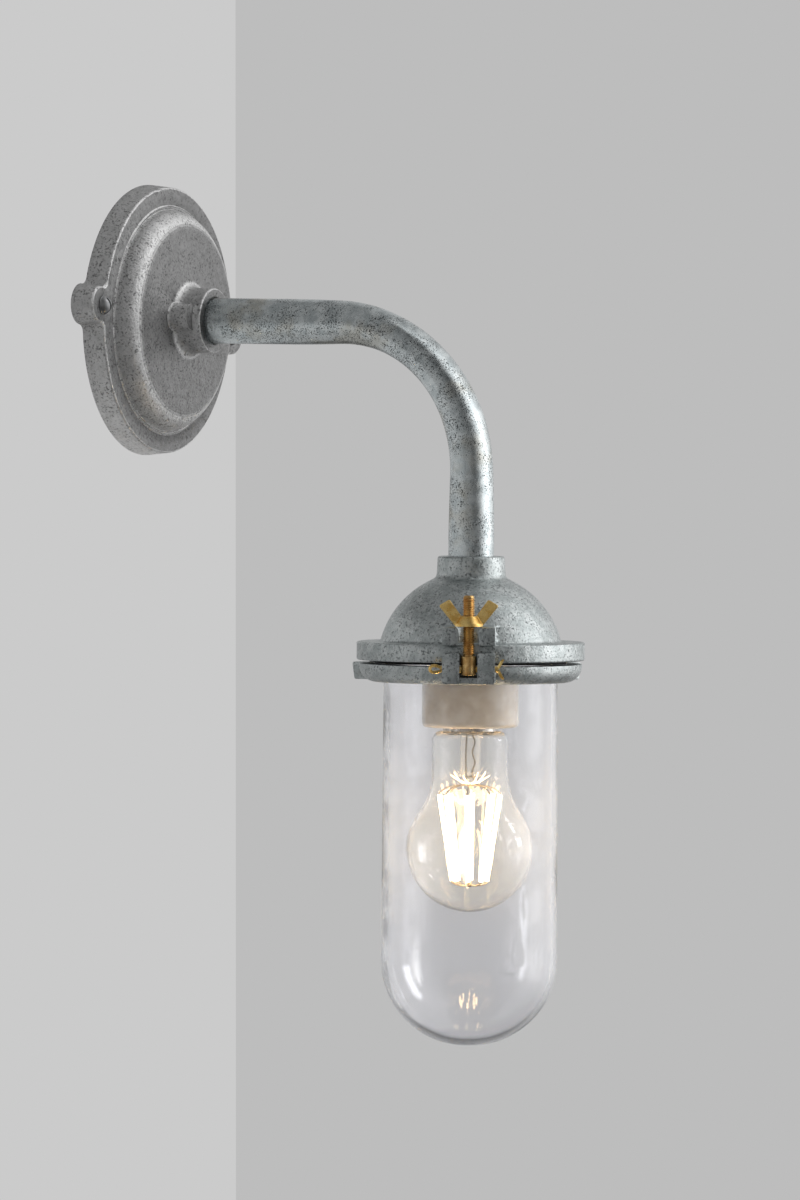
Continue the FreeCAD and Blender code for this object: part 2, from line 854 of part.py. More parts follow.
def glass_ring():
    body = turned_about_z([
        (0, ring_top, 0),
        (ring_radius, ring_top, ring_edge_round),
        (ring_radius - ring_lean, ring_bottom, ring_bowl_round),
        (0, ring_bottom, 0),
    ])
    cheek = ring_cheek()
    floor = block(Vector(ring_bore_radius, -cheek_gap / 2, -cheek_bottom),
                  Vector(slot_floor_reach, cheek_gap / 2, -cheek_bottom + slot_floor_thickness))
    added = [turned_in_plan(shape, fork_azimuth) for shape in (cheek, mirrored_in_y(cheek), floor)]
    cuts = []
    for turn in (left_lug_turn, -right_lug_turn):
        added.append(turned_in_plan(block_lug(), fork_azimuth - turn))
        place = lug_place(turn) + Vector(0, 0, ring_bottom + lug_bottom_step)
        top = Vector(place.x, place.y, ring_top + overrun)
        head_end = place + Vector(0, 0, ring_screw_head_height)
        cuts.append(rod(ring_screw_radius + ring_screw_fit, place, top))
        cuts.append(rod(ring_screw_head_radius + ring_screw_fit, place - Vector(0, 0, overrun), head_end))
    high = Vector(0, 0, ring_top + overrun)
    recess = rod(lip_radius + lip_fit, Vector(0, 0, recess_floor), high)
    bore = rod(ring_bore_radius, Vector(0, 0, ring_bottom - overrun), high)
    return joined([body] + added).cut(cuts + [recess, bore])


def ring_screws():
    screws = []
    for turn in (left_lug_turn, -right_lug_turn):
        low = lug_place(turn) + Vector(0, 0, ring_bottom + lug_bottom_step)
        head = rod(ring_screw_head_radius, low, low + Vector(0, 0, ring_screw_head_height))
        top = Vector(low.x, low.y, ring_screw_grip - flange_thickness)
        screws.append(joined([head, rod(ring_screw_radius, low, top)]))
    return group(screws)


def flat_ring(bore, radius, low, high):
    return turned_about_z([(bore, low, 0), (radius, low, 0), (radius, high, 0), (bore, high, 0)])


def upper_gasket():
    return flat_ring(gasket_bore_radius, lip_radius, lip_top, -flange_thickness)


def lower_gasket():
    return flat_ring(ring_bore_radius, lip_radius, recess_floor, lip_bottom)


def glass_form(inset, top):
    # Solid form of the glass, drawn in by an inset
    return turned_about_z([
        (0, top, 0),
        (glass_top_radius - inset, top, 0),
        (glass_radius - inset, -glass_depth + inset, glass_bottom_round - inset),
        (0, -glass_depth + inset, 0),
    ])


def well_glass():
    lip = turned_about_z([
        (0, lip_bottom, 0),
        (lip_radius, lip_bottom, lip_edge_round),
        (lip_radius, lip_top, lip_edge_round),
        (0, lip_top, 0),
    ])
    return joined([lip, glass_form(0, lip_top)]).cut(glass_form(glass_wall, lip_top + overrun))


# Swing bolt, split pin and wing nut, drawn with the fork along +X

def swing_bolt():
    bolt = turned_about_z([
        (0, -barrel_bottom, 0),
        (barrel_radius, -barrel_bottom, barrel_round),
        (barrel_radius, -barrel_top, barrel_round),
        (bolt_radius, -barrel_top, 0),
        (bolt_radius, bolt_top - bolt_tip_chamfer, 0),
        (bolt_radius - bolt_tip_chamfer, bolt_top, 0),
        (0, bolt_top, 0),
    ])
    reach = barrel_radius + overrun
    hole = rod(pin_radius + pin_fit, Vector(0, -reach, -pin_drop), Vector(0, reach, -pin_drop))
    bolt = bolt.cut(hole)
    bolt.translate(Vector(fork_reach, 0, 0))
    return bolt


def split_pin():
    # Shank through both cheeks, eye at one end and two spread legs at the other
    half = cheek_gap / 2 + cheek_width
    axis_start = Vector(fork_reach, -half - pin_eye_wire, -pin_drop)
    axis_end = Vector(fork_reach, half + pin_radius, -pin_drop)
    eye_centre = axis_start - Vector(0, pin_eye_radius, 0)
    eye_turn = math.radians(pin_eye_turn)
    eye_faces = Vector(math.cos(eye_turn), 0, math.sin(eye_turn))
    eye = Part.makeTorus(pin_eye_radius, pin_eye_wire, eye_centre, eye_faces)
    pieces = [rod(pin_radius, axis_start, axis_end), eye]
    wire = pin_radius / 2
    for side in (-1, 1):
        root = axis_end + Vector(0, -wire, side * wire)
        lean = math.radians(pin_leg_spread) * side
        tip = root + Vector(0, math.cos(lean), math.sin(lean)) * pin_leg_length
        pieces.append(rod(wire, root, tip))
        pieces.append(Part.makeSphere(wire, tip))
    return joined(pieces)


def wing(side):
    # Flat wing that leans outward from the hub, seen broadside from the front
    seat = prong_height + nut_seat_clearance
    outline = [
        (Vector(0, side * wing_root_high, seat + wing_inner_rise), wing_round),
        (Vector(0, side * wing_tip_in, seat + wing_tip_high_rise), wing_round),
        (Vector(0, side * wing_tip_out, seat + wing_tip_low_rise), wing_round),
        (Vector(0, side * wing_root_low, seat + wing_root_rise), wing_round),
        (Vector(0, 0, seat + wing_root_rise), 0),
        (Vector(0, 0, seat + wing_inner_rise), 0),
    ]
    plate = slab(outline, Vector(wing_thickness, 0, 0))
    plate.translate(Vector(-wing_thickness / 2, 0, 0))
    return plate


def wing_nut():
    seat = prong_height + nut_seat_clearance
    hub = turned_about_z([
        (0, seat, 0),
        (nut_base_radius, seat, nut_edge_round),
        (nut_rim_radius, seat + nut_rim_height, nut_rim_round),
        (nut_top_radius, seat + nut_height, nut_edge_round),
        (0, seat + nut_height, 0),
    ])
    bore = rod(bolt_radius + nut_fit, Vector(0, 0, seat - overrun),
               Vector(0, 0, seat + wing_tip_high_rise + overrun))
    nut = joined([hub, wing(-1), wing(1)]).cut(bore)
    nut.translate(Vector(fork_reach, 0, 0))
    return nut


# Lampholder

def holder_body():
    neck_level = -holder_bottom + holder_skirt_height
    bore = shell_radius + shell_fit
    return turned_about_z([
        (bore + shell_mouth_step, -holder_bottom, 0),
        (holder_radius, -holder_bottom, holder_bottom_round),
        (holder_radius, neck_level, holder_top_round),
        (holder_neck_radius, neck_level + holder_top_round, 0),
        (holder_neck_radius, holder_top, holder_top_round),
        (contact_post_radius + shell_fit, holder_top, 0),
        (contact_post_radius + shell_fit, -shell_floor_drop, 0),
        (bore, -shell_floor_drop, 0),
        (bore, -holder_bottom + shell_mouth_step, 0),
    ]).cut(holder_screw_holes())


def holder_screw_places():
    return [Vector(-holder_screw_spacing / 2, 0, 0), Vector(holder_screw_spacing / 2, 0, 0)]


def holder_screw_holes():
    holes = []
    for place in holder_screw_places():
        foot = place + Vector(0, 0, holder_top - holder_screw_length)
        head = place + Vector(0, 0, holder_top + overrun)
        holes.append(rod(holder_screw_radius + screw_fit, foot, head))
    return holes


def holder_shell():
    return flat_ring(shell_bore_radius, shell_radius, -holder_bottom + shell_mouth_step, -shell_floor_drop)


def centre_contact():
    disc = Part.makeCylinder(contact_radius, contact_thickness, Vector(0, 0, tip_top))
    post = rod(contact_post_radius, Vector(0, 0, -shell_floor_drop), Vector(0, 0, holder_top))
    return joined([disc, post])


def holder_strap():
    half = pillar_spacing / 2 + strap_end_length
    corners = [
        (Vector(-half, -strap_width / 2, holder_top), strap_corner_round),
        (Vector(half, -strap_width / 2, holder_top), strap_corner_round),
        (Vector(half, strap_width / 2, holder_top), strap_corner_round),
        (Vector(-half, strap_width / 2, holder_top), strap_corner_round),
    ]
    plate = slab(corners, Vector(0, 0, strap_thickness))
    top = holder_top + strap_thickness + overrun
    holes = []
    for side in (-pillar_spacing / 2, pillar_spacing / 2):
        holes.append(rod(strap_screw_radius + screw_fit, Vector(side, 0, holder_top - overrun),
                         Vector(side, 0, top)))
    for place in holder_screw_places():
        holes.append(rod(holder_screw_radius + screw_fit, place + Vector(0, 0, holder_top - overrun),
                         place + Vector(0, 0, top)))
    holes.append(rod(earth_screw_radius + screw_fit, Vector(earth_screw_offset, 0, holder_top),
                     Vector(earth_screw_offset, 0, top)))
    return plate.cut(holes)


def screw_down(place, level, radius, head_radius, head_height, length):
    # Screw with its head above a level and its shank below
    head = rod(head_radius, place + Vector(0, 0, level), place + Vector(0, 0, level + head_height))
    shank = rod(radius, place + Vector(0, 0, level - length), place + Vector(0, 0, level))
    return joined([head, shank])


def strap_screws():
    screws = []
    for side in (-pillar_spacing / 2, pillar_spacing / 2):
        head = rod(strap_screw_head_radius, Vector(side, 0, holder_top - strap_screw_head_height),
                   Vector(side, 0, holder_top))
        shank = rod(strap_screw_radius, Vector(side, 0, holder_top),
                    Vector(side, 0, holder_top + strap_thickness + strap_screw_grip))
        screws.append(joined([head, shank]))
    return group(screws)


def holder_screws():
    level = holder_top + strap_thickness
    screws = []
    for place in holder_screw_places():
        screws.append(screw_down(place, level, holder_screw_radius, holder_screw_head_radius,
                                 holder_screw_head_height, holder_screw_length))
    return group(screws)


def earth_screw():
    return screw_down(Vector(earth_screw_offset, 0, 0), holder_top + strap_thickness, earth_screw_radius,
                      earth_screw_head_radius, earth_screw_head_height, strap_thickness)


def holder_terminals():
    terminals = []
    for side in (-1, 1):
        middle = Vector(0, side * terminal_spread, holder_top)
        half = Vector(terminal_length / 2, terminal_width / 2, 0)
        body = block(middle - half, middle + half + Vector(0, 0, terminal_height))
        mouth = rod(clamp_bore_radius, middle + Vector(0, 0, terminal_height - lead_entry),
                    middle + Vector(0, 0, terminal_height + overrun))
        screw_hole = rod(terminal_screw_radius, middle + Vector(0, 0, terminal_height / 2),
                         middle + Vector(0, side * terminal_width, terminal_height / 2))
        terminals.append(body.cut([mouth, screw_hole]))
    return group(terminals)


def terminal_screws():
    screws = []
    for side in (-1, 1):
        level = holder_top + terminal_height / 2
        start = Vector(0, side * (terminal_spread + clamp_bore_radius), level)
        end = Vector(0, side * (terminal_spread + terminal_width / 2 + terminal_screw_stand), level)
        screws.append(rod(terminal_screw_radius, start, end))
    return group(screws)


# Bulb

def bulb_form(inset, top):
    # Pear shape: seal, shoulder, neck, throat and round body, drawn in by an inset
    centre = -bulb_centre_drop
    radius = bulb_radius - inset
    neck = bulb_neck_radius - inset
    throat = tangent_at_radius(centre, radius, bulb_leave_angle, neck)
    corner_radius, corner_height = arc_corner(centre, radius, -90, bulb_leave_angle)
    return turned_about_z([
        (0, top, 0),
        (bulb_seal_radius - inset, top, 0),
        (bulb_seal_radius - inset, -bulb_neck_top - inset, 0),
        (neck, -bulb_neck_top - inset, bulb_shoulder_round - inset),
        (neck, throat, bulb_throat_round),
        (corner_radius, corner_height, radius),
        (0, centre - radius, 0),
    ])


def bulb_glass():
    seal = -bulb_neck_top + bulb_seal_height
    return bulb_form(0, seal).cut(bulb_form(bulb_glass_wall, seal + overrun))


def bulb_cap():
    # Thin screw cap, open below where it meets the glass
    outside = cap_radius
    inside = cap_radius - cap_wall
    return turned_about_z([
        (inside, -bulb_neck_top, 0),
        (outside, -bulb_neck_top, 0),
        (outside, -cap_top_drop, cap_round),
        (insulator_radius, -cap_top_drop, 0),
        (insulator_radius, -cap_top_drop - cap_wall, 0),
        (inside, -cap_top_drop - cap_wall, cap_round - cap_wall),
    ])


def bulb_insulator():
    low = -cap_top_drop - cap_wall
    high = -cap_top_drop + insulator_height
    return turned_about_z([
        (0, low, 0),
        (insulator_radius, low, 0),
        (insulator_radius, -cap_top_drop, 0),
        (insulator_tip_radius, high, 0),
        (0, high, 0),
    ])


def bulb_contact():
    low = -cap_top_drop + insulator_height
    return turned_about_z([
        (0, low, 0),
        (tip_radius, low, 0),
        (tip_radius, tip_top, tip_round),
        (0, tip_top, 0),
    ])


def bulb_stem():
    # Flared at the seal inside the cap, then a tube that ends in a slimmer tip at the wires
    top = -bulb_neck_top + bulb_seal_height
    return turned_about_z([
        (0, top, 0),
        (stem_flare_radius, top, 0),
        (stem_flare_radius - stem_flare_height, top - stem_flare_height, stem_flare_height / 2),
        (stem_tube_radius, top - stem_flare_height - stem_flare_round, stem_flare_height),
        (stem_tube_radius, -stem_tube_drop, stem_taper / 2),
        (stem_radius, -stem_tube_drop - stem_taper, stem_taper / 2),
        (stem_radius, -stem_drop, stem_radius / 2),
        (0, -stem_drop, 0),
    ])


def filament_ends(index):
    angle = 2 * math.pi * (index + 0.5) / filament_count
    out = Vector(math.cos(angle), math.sin(angle), 0)
    top = out * filament_top_spread - Vector(0, 0, filament_top_drop)
    bottom = out * filament_bottom_spread - Vector(0, 0, filament_bottom_drop)
    return top, bottom


def filaments():
    sticks = []
    for index in range(filament_count):
        top, bottom = filament_ends(index)
        sticks.append(rod(filament_radius, top, bottom))
    return group(sticks)


def filament_wires():
    # Wires from the stem to the tops, and from the bottoms to a small hub
    low_hub = Vector(0, 0, -support_ring_drop)
    high_hub = Vector(0, 0, -stem_drop - support_wire_radius)
    upper = [Part.makeSphere(stem_radius / 2, high_hub - Vector(0, 0, stem_radius / 2))]
    lower = [Part.makeSphere(stem_radius / 2, low_hub)]
    for index in range(filament_count):
        top, bottom = filament_ends(index)
        upper.append(rod(support_wire_radius, high_hub - Vector(0, 0, stem_radius / 2), top))
        lower.append(rod(support_wire_radius, low_hub, bottom))
    wires = joined(upper).cut(filaments())
    return group([wires, joined(lower).cut(filaments())])


def build():
    nodes = {
        "wall_plate": wall_plate(),
        "wall_screws": wall_screws(),
        "terminal_block": terminal_block(),
        "block_clamps": block_clamps(),
        "clamp_screws": clamp_screws(),
        "block_screw": block_screw(),
        "bracket_pipe": bracket_pipe(),
        "live_lead": lead(-pole_pitch, -120, terminal_mouth(-1)),
        "neutral_lead": lead(pole_pitch, 120, terminal_mouth(1)),
        "earth_lead": lead(0, 0, earth_mouth()),
        "lamp_head": hung(lamp_head()),
        "upper_gasket": hung(upper_gasket()),
        "well_glass": hung(well_glass()),
        "lower_gasket": hung(lower_gasket()),
        "glass_ring": hung(glass_ring()),
        "ring_screws": hung(ring_screws()),
        "split_pin": hung(split_pin(), fork_azimuth),
        "swing_bolt": hung(swing_bolt(), fork_azimuth),
        "wing_nut": hung(wing_nut(), fork_azimuth),
        "holder_body": hung(holder_body()),
        "holder_shell": hung(holder_shell()),
        "centre_contact": hung(centre_contact()),
        "holder_strap": hung(holder_strap()),
        "strap_screws": hung(strap_screws()),
        "holder_screws": hung(holder_screws()),
        "earth_screw": hung(earth_screw()),
        "holder_terminals": hung(holder_terminals()),
        "terminal_screws": hung(terminal_screws()),
        "bulb_glass": hung(bulb_glass()),
        "bulb_cap": hung(bulb_cap()),
        "bulb_insulator": hung(bulb_insulator()),
        "bulb_contact": hung(bulb_contact()),
        "bulb_stem": hung(bulb_stem()),
        "filaments": hung(filaments()),
        "filament_wires": hung(filament_wires()),
    }
    os.makedirs("parts", exist_ok=True)
    for node, shape in nodes.items():
        shape.exportStep("parts/" + node + ".step")
        print(node, len(shape.Solids), round(shape.Volume, 1), shape.isValid())


build()
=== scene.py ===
import bmesh
import bpy
import json
import math
from mathutils import Matrix, Vector


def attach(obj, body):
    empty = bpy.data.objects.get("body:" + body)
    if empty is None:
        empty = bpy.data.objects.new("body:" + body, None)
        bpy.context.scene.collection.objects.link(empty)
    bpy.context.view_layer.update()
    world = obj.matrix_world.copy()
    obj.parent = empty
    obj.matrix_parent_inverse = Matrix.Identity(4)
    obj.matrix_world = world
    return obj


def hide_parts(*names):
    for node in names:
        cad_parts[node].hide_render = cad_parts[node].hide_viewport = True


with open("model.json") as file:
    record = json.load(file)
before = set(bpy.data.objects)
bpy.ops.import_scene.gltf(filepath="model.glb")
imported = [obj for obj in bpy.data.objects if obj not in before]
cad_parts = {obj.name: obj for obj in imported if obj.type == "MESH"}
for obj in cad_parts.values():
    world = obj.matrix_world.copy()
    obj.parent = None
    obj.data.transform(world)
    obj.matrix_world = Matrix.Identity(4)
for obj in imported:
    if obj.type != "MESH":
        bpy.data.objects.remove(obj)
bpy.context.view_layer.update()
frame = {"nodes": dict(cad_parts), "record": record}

# Outdoor bracket light: finishes, threads, glass and the studio around it. Metres, in the frame of the part.

nodes = frame["nodes"]
mm = 0.001
onAxis = 1e-7  # nearer to the axis than this, a ring is one point
noiseSpan = (0.3, 0.7)  # where most of a noise lies


# Outlines, skins and turned pieces

def roundedOutline(corners, steps):
    # corners are (radius, height, rounding) in millimetres; each rounding becomes a small arc
    corners = [[value * mm for value in corner] for corner in corners]
    points = []
    for index, (radius, height, rounding) in enumerate(corners):
        corner = Vector((radius, height))
        if rounding == 0 or index in (0, len(corners) - 1):
            points.append(corner)
            continue
        back, ahead = ((Vector(corners[index + side][:2]) - corner).normalized() for side in (-1, 1))
        halfAngle = back.angle(ahead) / 2
        centre = corner + (back + ahead).normalized() * (rounding / math.sin(halfAngle))
        enter, leave = (corner + way * (rounding / math.tan(halfAngle)) - centre for way in (back, ahead))
        turn = enter.angle_signed(leave)
        for step in range(steps + 1):
            spoke = enter.copy()
            spoke.rotate(Matrix.Rotation(-turn * step / steps, 2))
            points.append(centre + spoke)
    return points


def linked(name, data):
    made = bpy.data.objects.new(name, data)
    bpy.context.collection.objects.link(made)
    return made


def fromMesh(name, mesh):
    bmesh.ops.recalc_face_normals(mesh, faces=mesh.faces)
    data = bpy.data.meshes.new(name)
    mesh.to_mesh(data)
    mesh.free()
    return linked(name, data)


def addSkin(mesh, rows, closedAlong=False):
    # rows of points joined into one skin; a row of one point is a pole
    made = [[mesh.verts.new(point) for point in row] for row in rows]
    pairs = list(zip(made, made[1:]))
    if closedAlong:
        pairs.append((made[-1], made[0]))
    for lower, upper in pairs:
        around = max(len(lower), len(upper))
        for index in range(around):
            following = (index + 1) % around
            corners = []
            for row, place in ((lower, index), (lower, following), (upper, following), (upper, index)):
                vertex = row[place] if len(row) > 1 else row[0]
                if vertex not in corners:
                    corners.append(vertex)
            if len(corners) > 2:
                mesh.faces.new(corners)
    return made


def gridPiece(name, rows, closedAlong=False):
    mesh = bmesh.new()
    addSkin(mesh, rows, closedAlong)
    return fromMesh(name, mesh)


def closedPiece(name, rows):
    # skin through the rows, flat at both ends
    ends = [sum(rows[end], Vector()) / len(rows[end]) for end in (0, -1)]
    return gridPiece(name, [[ends[0]], *rows, [ends[1]]])


def turns(count, offset=0.0):
    # equal angles round a circle
    return [2 * math.pi * (step + offset) / count for step in range(count)]


def ringRow(radiusAt, height, around):
    # points round the upright axis; their distance from it follows the angle
    row = []
    for angle in turns(around):
        radius = radiusAt(angle)
        row.append(Vector((radius * math.cos(angle), radius * math.sin(angle), height)))
    return row


def turnedRows(outline, around):
    # outline (radius, height) turned about the upright axis, where a single point is a pole
    rows = []
    for radius, height in outline:
        rows.append(ringRow(lambda angle: radius, height, around) if radius > onAxis else [Vector((0, 0, height))])
    return rows


def roundRow(centre, ahead, across, radius, around):
    # circle square to the way ahead
    beside = ahead.cross(across)
    return [centre + (across * math.cos(angle) + beside * math.sin(angle)) * radius for angle in turns(around)]


def wayAt(path, index):
    # direction of a path at one of its points
    return (path[min(index + 1, len(path) - 1)] - path[max(index - 1, 0)]).normalized()


def curveShare(before, first, second, after, part):
    # smooth curve between first and second, for numbers or points
    square, cube = part ** 2, part ** 3
    return ((2 * cube - 3 * square + 1) * first + (cube - 2 * square + part) * (second - before) / 2
            + (3 * square - 2 * cube) * second + (cube - square) * (after - first) / 2)


def dressed(piece, body, slotName, *replaced, finish=None, sharpFrom=50):
    # smoothness of a piece, its material, body and slot, and the nodes that it stands for
    piece.data.shade_smooth()
    piece.data.set_sharp_from_angle(angle=math.radians(sharpFrom))
    piece.data.materials.clear()
    piece.data.materials.append(materials[finish or slotName])
    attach(piece, body)
    if replaced:
        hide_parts(*replaced)
    return piece


# Material building

def startMaterial(name):
    material = bpy.data.materials.new(name)
    material.use_nodes = True
    tree = material.node_tree
    return material, tree, tree.nodes["Principled BSDF"], addNode(tree, "TexCoord").outputs["Object"]


def feed(tree, node, inputs):
    # each input gets a plain value or a link; a node stands for its first output
    for key, value in inputs.items():
        if isinstance(value, bpy.types.Node):
            value = value.outputs[0]
        if isinstance(value, bpy.types.NodeSocket):
            tree.links.new(value, node.inputs[key])
        else:
            node.inputs[key].default_value = value


def addNode(tree, kind, inputs=None, **settings):
    made = tree.nodes.new("ShaderNode" + kind)
    for key, value in settings.items():
        setattr(made, key, value)
    feed(tree, made, inputs or {})
    return made


def noise(tree, place, size, detail=4.0, roughness=0.55):
    # size is the width of one blotch in metres
    return addNode(tree, "TexNoise", {"Vector": place, "Scale": 1 / size, "Detail": detail, "Roughness": roughness})


def ramp(tree, factor, low, high, lowValue=0.0, highValue=1.0, form="SMOOTHSTEP"):
    return addNode(tree, "MapRange", {"Value": factor, "From Min": low, "From Max": high,
                                      "To Min": lowValue, "To Max": highValue}, interpolation_type=form)


def combined(tree, operation, *values):
    return addNode(tree, "Math", dict(enumerate(values)), operation=operation)


def product(tree, first, second):
    return combined(tree, "MULTIPLY", first, second)


def mixColour(tree, factor, first, second, blend="MIX"):
    made = addNode(tree, "Mix", {0: factor, 6: first, 7: second}, data_type="RGBA", blend_type=blend)
    return made.outputs[2]


def mixShader(tree, factor, first, second):
    return addNode(tree, "MixShader", {0: factor, 1: first, 2: second})


def surfaced(material, surface):
    # the material with this as its whole surface
    tree = material.node_tree
    feed(tree, tree.nodes["Material Output"], {"Surface": surface})
    return material


def bump(tree, height, strength, distance, **under):
    return addNode(tree, "Bump", {"Height": height, "Strength": strength, "Distance": distance, **under})


def clouded(tree, factor, finish):
    # roughness between the smoothest and the roughest of a finish
    smoothest, roughest = finish["roughness"] - finish["smoother"], finish["roughness"] + finish["rougher"]
    return ramp(tree, factor, *noiseSpan, smoothest, roughest)


def shade(value):
    # grey or colour written as sRGB 0 to 255, as linear RGBA
    channels = value if isinstance(value, tuple) else (value, value, value)
    linear = []
    for channel in channels:
        share = channel / 255
        linear.append(share / 12.92 if share <= 0.04045 else ((share + 0.055) / 1.055) ** 2.4)
    return (*linear, 1.0)


print("helpers ready")

# each casting's front grey is a painted shade, multiplied into its faces that look straight out from the wall; white
# leaves the head as it is
castFinish = {
    "plate": {"light": (214, 214, 214), "dark": (202, 202, 202), "speck": (128, 128, 128), "front": (150, 150, 150),
              "metal": 0.85, "roughness": 0.42, "speckFrom": 0.52, "blotch": 4 * mm,
              "grain": 1.15 * mm, "grainDepth": 0.55 * mm},
    "head": {"light": (206, 211, 211), "dark": (176, 183, 183), "speck": (96, 102, 103), "front": (255, 255, 255),
             "metal": 0.96, "roughness": 0.31, "speckFrom": 0.53, "blotch": 5 * mm,
             "grain": 0.95 * mm, "grainDepth": 0.34 * mm},
    "both": {"mottle": (0.36, 0.64), "patch": 5 * mm, "patches": (0.34, 0.62), "fewest": 0.35,
             "speckSize": 1.05 * mm, "speckSoft": 0.10, "frontFrom": (0.86, 0.995), "sheen": 2.5 * mm,
             "smoother": 0.06, "rougher": 0.12, "grainShare": 0.7,
             "swell": 3.2 * mm, "swellDepth": 0.30 * mm, "swellShare": 0.6},
}


def castMaterial(casting):
    # sand-cast and galvanised: fine sandy grain, dark specks, soft mottling, and a painted shade on the faces that
    # look straight out from the wall
    finish = {**castFinish["both"], **castFinish[casting]}
    material, tree, shader, place = startMaterial(casting + " casting")
    broad = ramp(tree, noise(tree, place, finish["blotch"], 5, 0.6), *finish["mottle"])
    colour = mixColour(tree, broad, shade(finish["dark"]), shade(finish["light"]))
    patches = ramp(tree, noise(tree, place, finish["patch"], 4), *finish["patches"], finish["fewest"], 1.0)
    sharp = ramp(tree, noise(tree, place, finish["speckSize"], 3, 0.6),
                 finish["speckFrom"], finish["speckFrom"] + finish["speckSoft"])
    colour = mixColour(tree, product(tree, sharp, patches), colour, shade(finish["speck"]))
    # painted shade: faces that look straight out from the wall are darkened, so the flat front reads darker than the
    # rims and shoulders
    outward = addNode(tree, "NewGeometry").outputs["True Normal"]
    facing = addNode(tree, "SeparateXYZ", {"Vector": outward}).outputs["X"]
    colour = mixColour(tree, ramp(tree, facing, *finish["frontFrom"]), colour, shade(finish["front"]), "MULTIPLY")
    roughness = clouded(tree, noise(tree, place, finish["sheen"], 4), finish)
    grain = bump(tree, noise(tree, place, finish["grain"], 3, 0.65), finish["grainShare"], finish["grainDepth"])
    swells = noise(tree, place, finish["swell"], 3)
    swell = bump(tree, swells, finish["swellShare"], finish["swellDepth"], Normal=grain)
    feed(tree, shader, {"Base Color": colour, "Roughness": roughness, "Metallic": finish["metal"], "Normal": swell})
    return material


pipeFinish = {
    "light": (224, 230, 231), "dark": (186, 194, 196), "speck": (46, 49, 50), "paintedWarmLight": (188, 180, 162),
    "mottleSize": 5 * mm, "mottle": (0.34, 0.66), "warmSize": 19 * mm, "warmFrom": (0.52, 0.70), "warmMost": 0.45,
    "driftSize": 12 * mm, "drifts": (0.28, 0.58), "outsideDrifts": 0.15,
    "speckSize": 0.62 * mm, "speckFrom": 0.51, "speckSoft": 0.09, "speckRoughness": 0.3, "pitDepth": 0.10 * mm,
    "roughness": 0.24, "smoother": 0.05, "rougher": 0.10, "metal": 0.98, "grain": 1.3 * mm, "grainDepth": 0.14 * mm,
    "grainShare": 0.45, "pitShare": 0.2,
}


def pipeMaterial():
    # drawn pipe, hot-dip galvanised: cool mottled grey, drifts of fine dark specks, and a little painted warm
    # reflected light laid in random patches
    finish = pipeFinish
    material, tree, shader, place = startMaterial("galvanised tube")
    mottle = noise(tree, place, finish["mottleSize"], 6, 0.68)
    colour = mixColour(tree, ramp(tree, mottle, *finish["mottle"]), shade(finish["dark"]), shade(finish["light"]))
    # painted reflection: a warm tint in random patches stands in for warm light reflected from below
    paintedWarmLight = ramp(tree, noise(tree, place, finish["warmSize"], 3), *finish["warmFrom"], 0, finish["warmMost"])
    colour = mixColour(tree, paintedWarmLight, colour, shade(finish["paintedWarmLight"]))
    drifts = ramp(tree, noise(tree, place, finish["driftSize"], 5, 0.6), *finish["drifts"])
    threshold = ramp(tree, drifts, 0, 1, finish["speckFrom"] + finish["outsideDrifts"], finish["speckFrom"], "LINEAR")
    over = combined(tree, "SUBTRACT", noise(tree, place, finish["speckSize"], 4, 0.65), threshold)
    specks = ramp(tree, over, 0.0, finish["speckSoft"])
    colour = mixColour(tree, specks, colour, shade(finish["speck"]))
    overSpecks = product(tree, specks, finish["speckRoughness"])
    roughness = combined(tree, "ADD", clouded(tree, mottle, finish), overSpecks)
    grain = bump(tree, noise(tree, place, finish["grain"], 4, 0.6), finish["grainShare"], finish["grainDepth"])
    pits = bump(tree, specks, finish["pitShare"], finish["pitDepth"], Normal=grain)
    feed(tree, shader, {"Base Color": colour, "Roughness": roughness, "Metallic": finish["metal"], "Normal": pits})
    return material


# metal, or a body that isn't metal: size and spread of its clouding, how much rougher it gets there, share of grain
plainKinds = {
    "metal": {"cloud": 4 * mm, "detail": 5, "spread": (0.35, 0.70), "rougher": 0.14, "grainShare": 0.4},
    "covered": {"cloud": 7 * mm, "detail": 4, "spread": (0.35, 0.65), "rougher": 0.06, "grainShare": 0.3},
}
# each: name, kind, light, dark, roughness, size and depth of the grain in millimetres, share of metal or of glaze
plainFinishes = {
    "zinc_steel": ("zinc-plated steel", "metal", (176, 177, 178), (130, 131, 132), 0.32, 0.5, 0.04, 1.0),
    "brass": ("brass", "metal", (246, 212, 136), (222, 176, 92), 0.20, 0.7, 0.05, 0.84),
    "bolt_brass": ("amber brass", "metal", (238, 202, 138), (200, 154, 94), 0.20, 0.5, 0.02, 0.92),
    "cap_nickel": ("nickel cap", "metal", (206, 203, 196), (176, 172, 164), 0.20, 0.5, 0.02, 1.0),
    "solder": ("solder", "metal", (190, 190, 186), (160, 160, 156), 0.38, 0.7, 0.06, 1.0),
    "support_wire": ("support wire", "metal", (150, 138, 120), (112, 98, 82), 0.35, 0.3, 0.01, 1.0),
    "porcelain": ("glazed porcelain", "covered", (228, 217, 198), (212, 197, 174), 0.16, 3.0, 0.05, 1.0),
    "block_ceramic": ("bare ceramic", "covered", (222, 219, 210), (206, 202, 192), 0.62, 0.5, 0.06, 0.0),
    "black_rubber": ("black rubber", "covered", (38, 38, 38), (28, 28, 29), 0.70, 0.4, 0.05, 0.0),
    "dark_glass": ("dark glass", "covered", (26, 26, 30), (20, 20, 24), 0.12, 2.0, 0.03, 0.0),
    "live_cover": ("brown cover", "covered", (92, 52, 30), (78, 44, 26), 0.45, 1.0, 0.03, 0.0),
    "neutral_cover": ("blue cover", "covered", (38, 84, 160), (32, 74, 146), 0.45, 1.0, 0.03, 0.0),
    "earth_cover": ("green cover", "covered", (92, 140, 60), (80, 126, 52), 0.45, 1.0, 0.03, 0.0),
}
glazeRoughness = 0.06


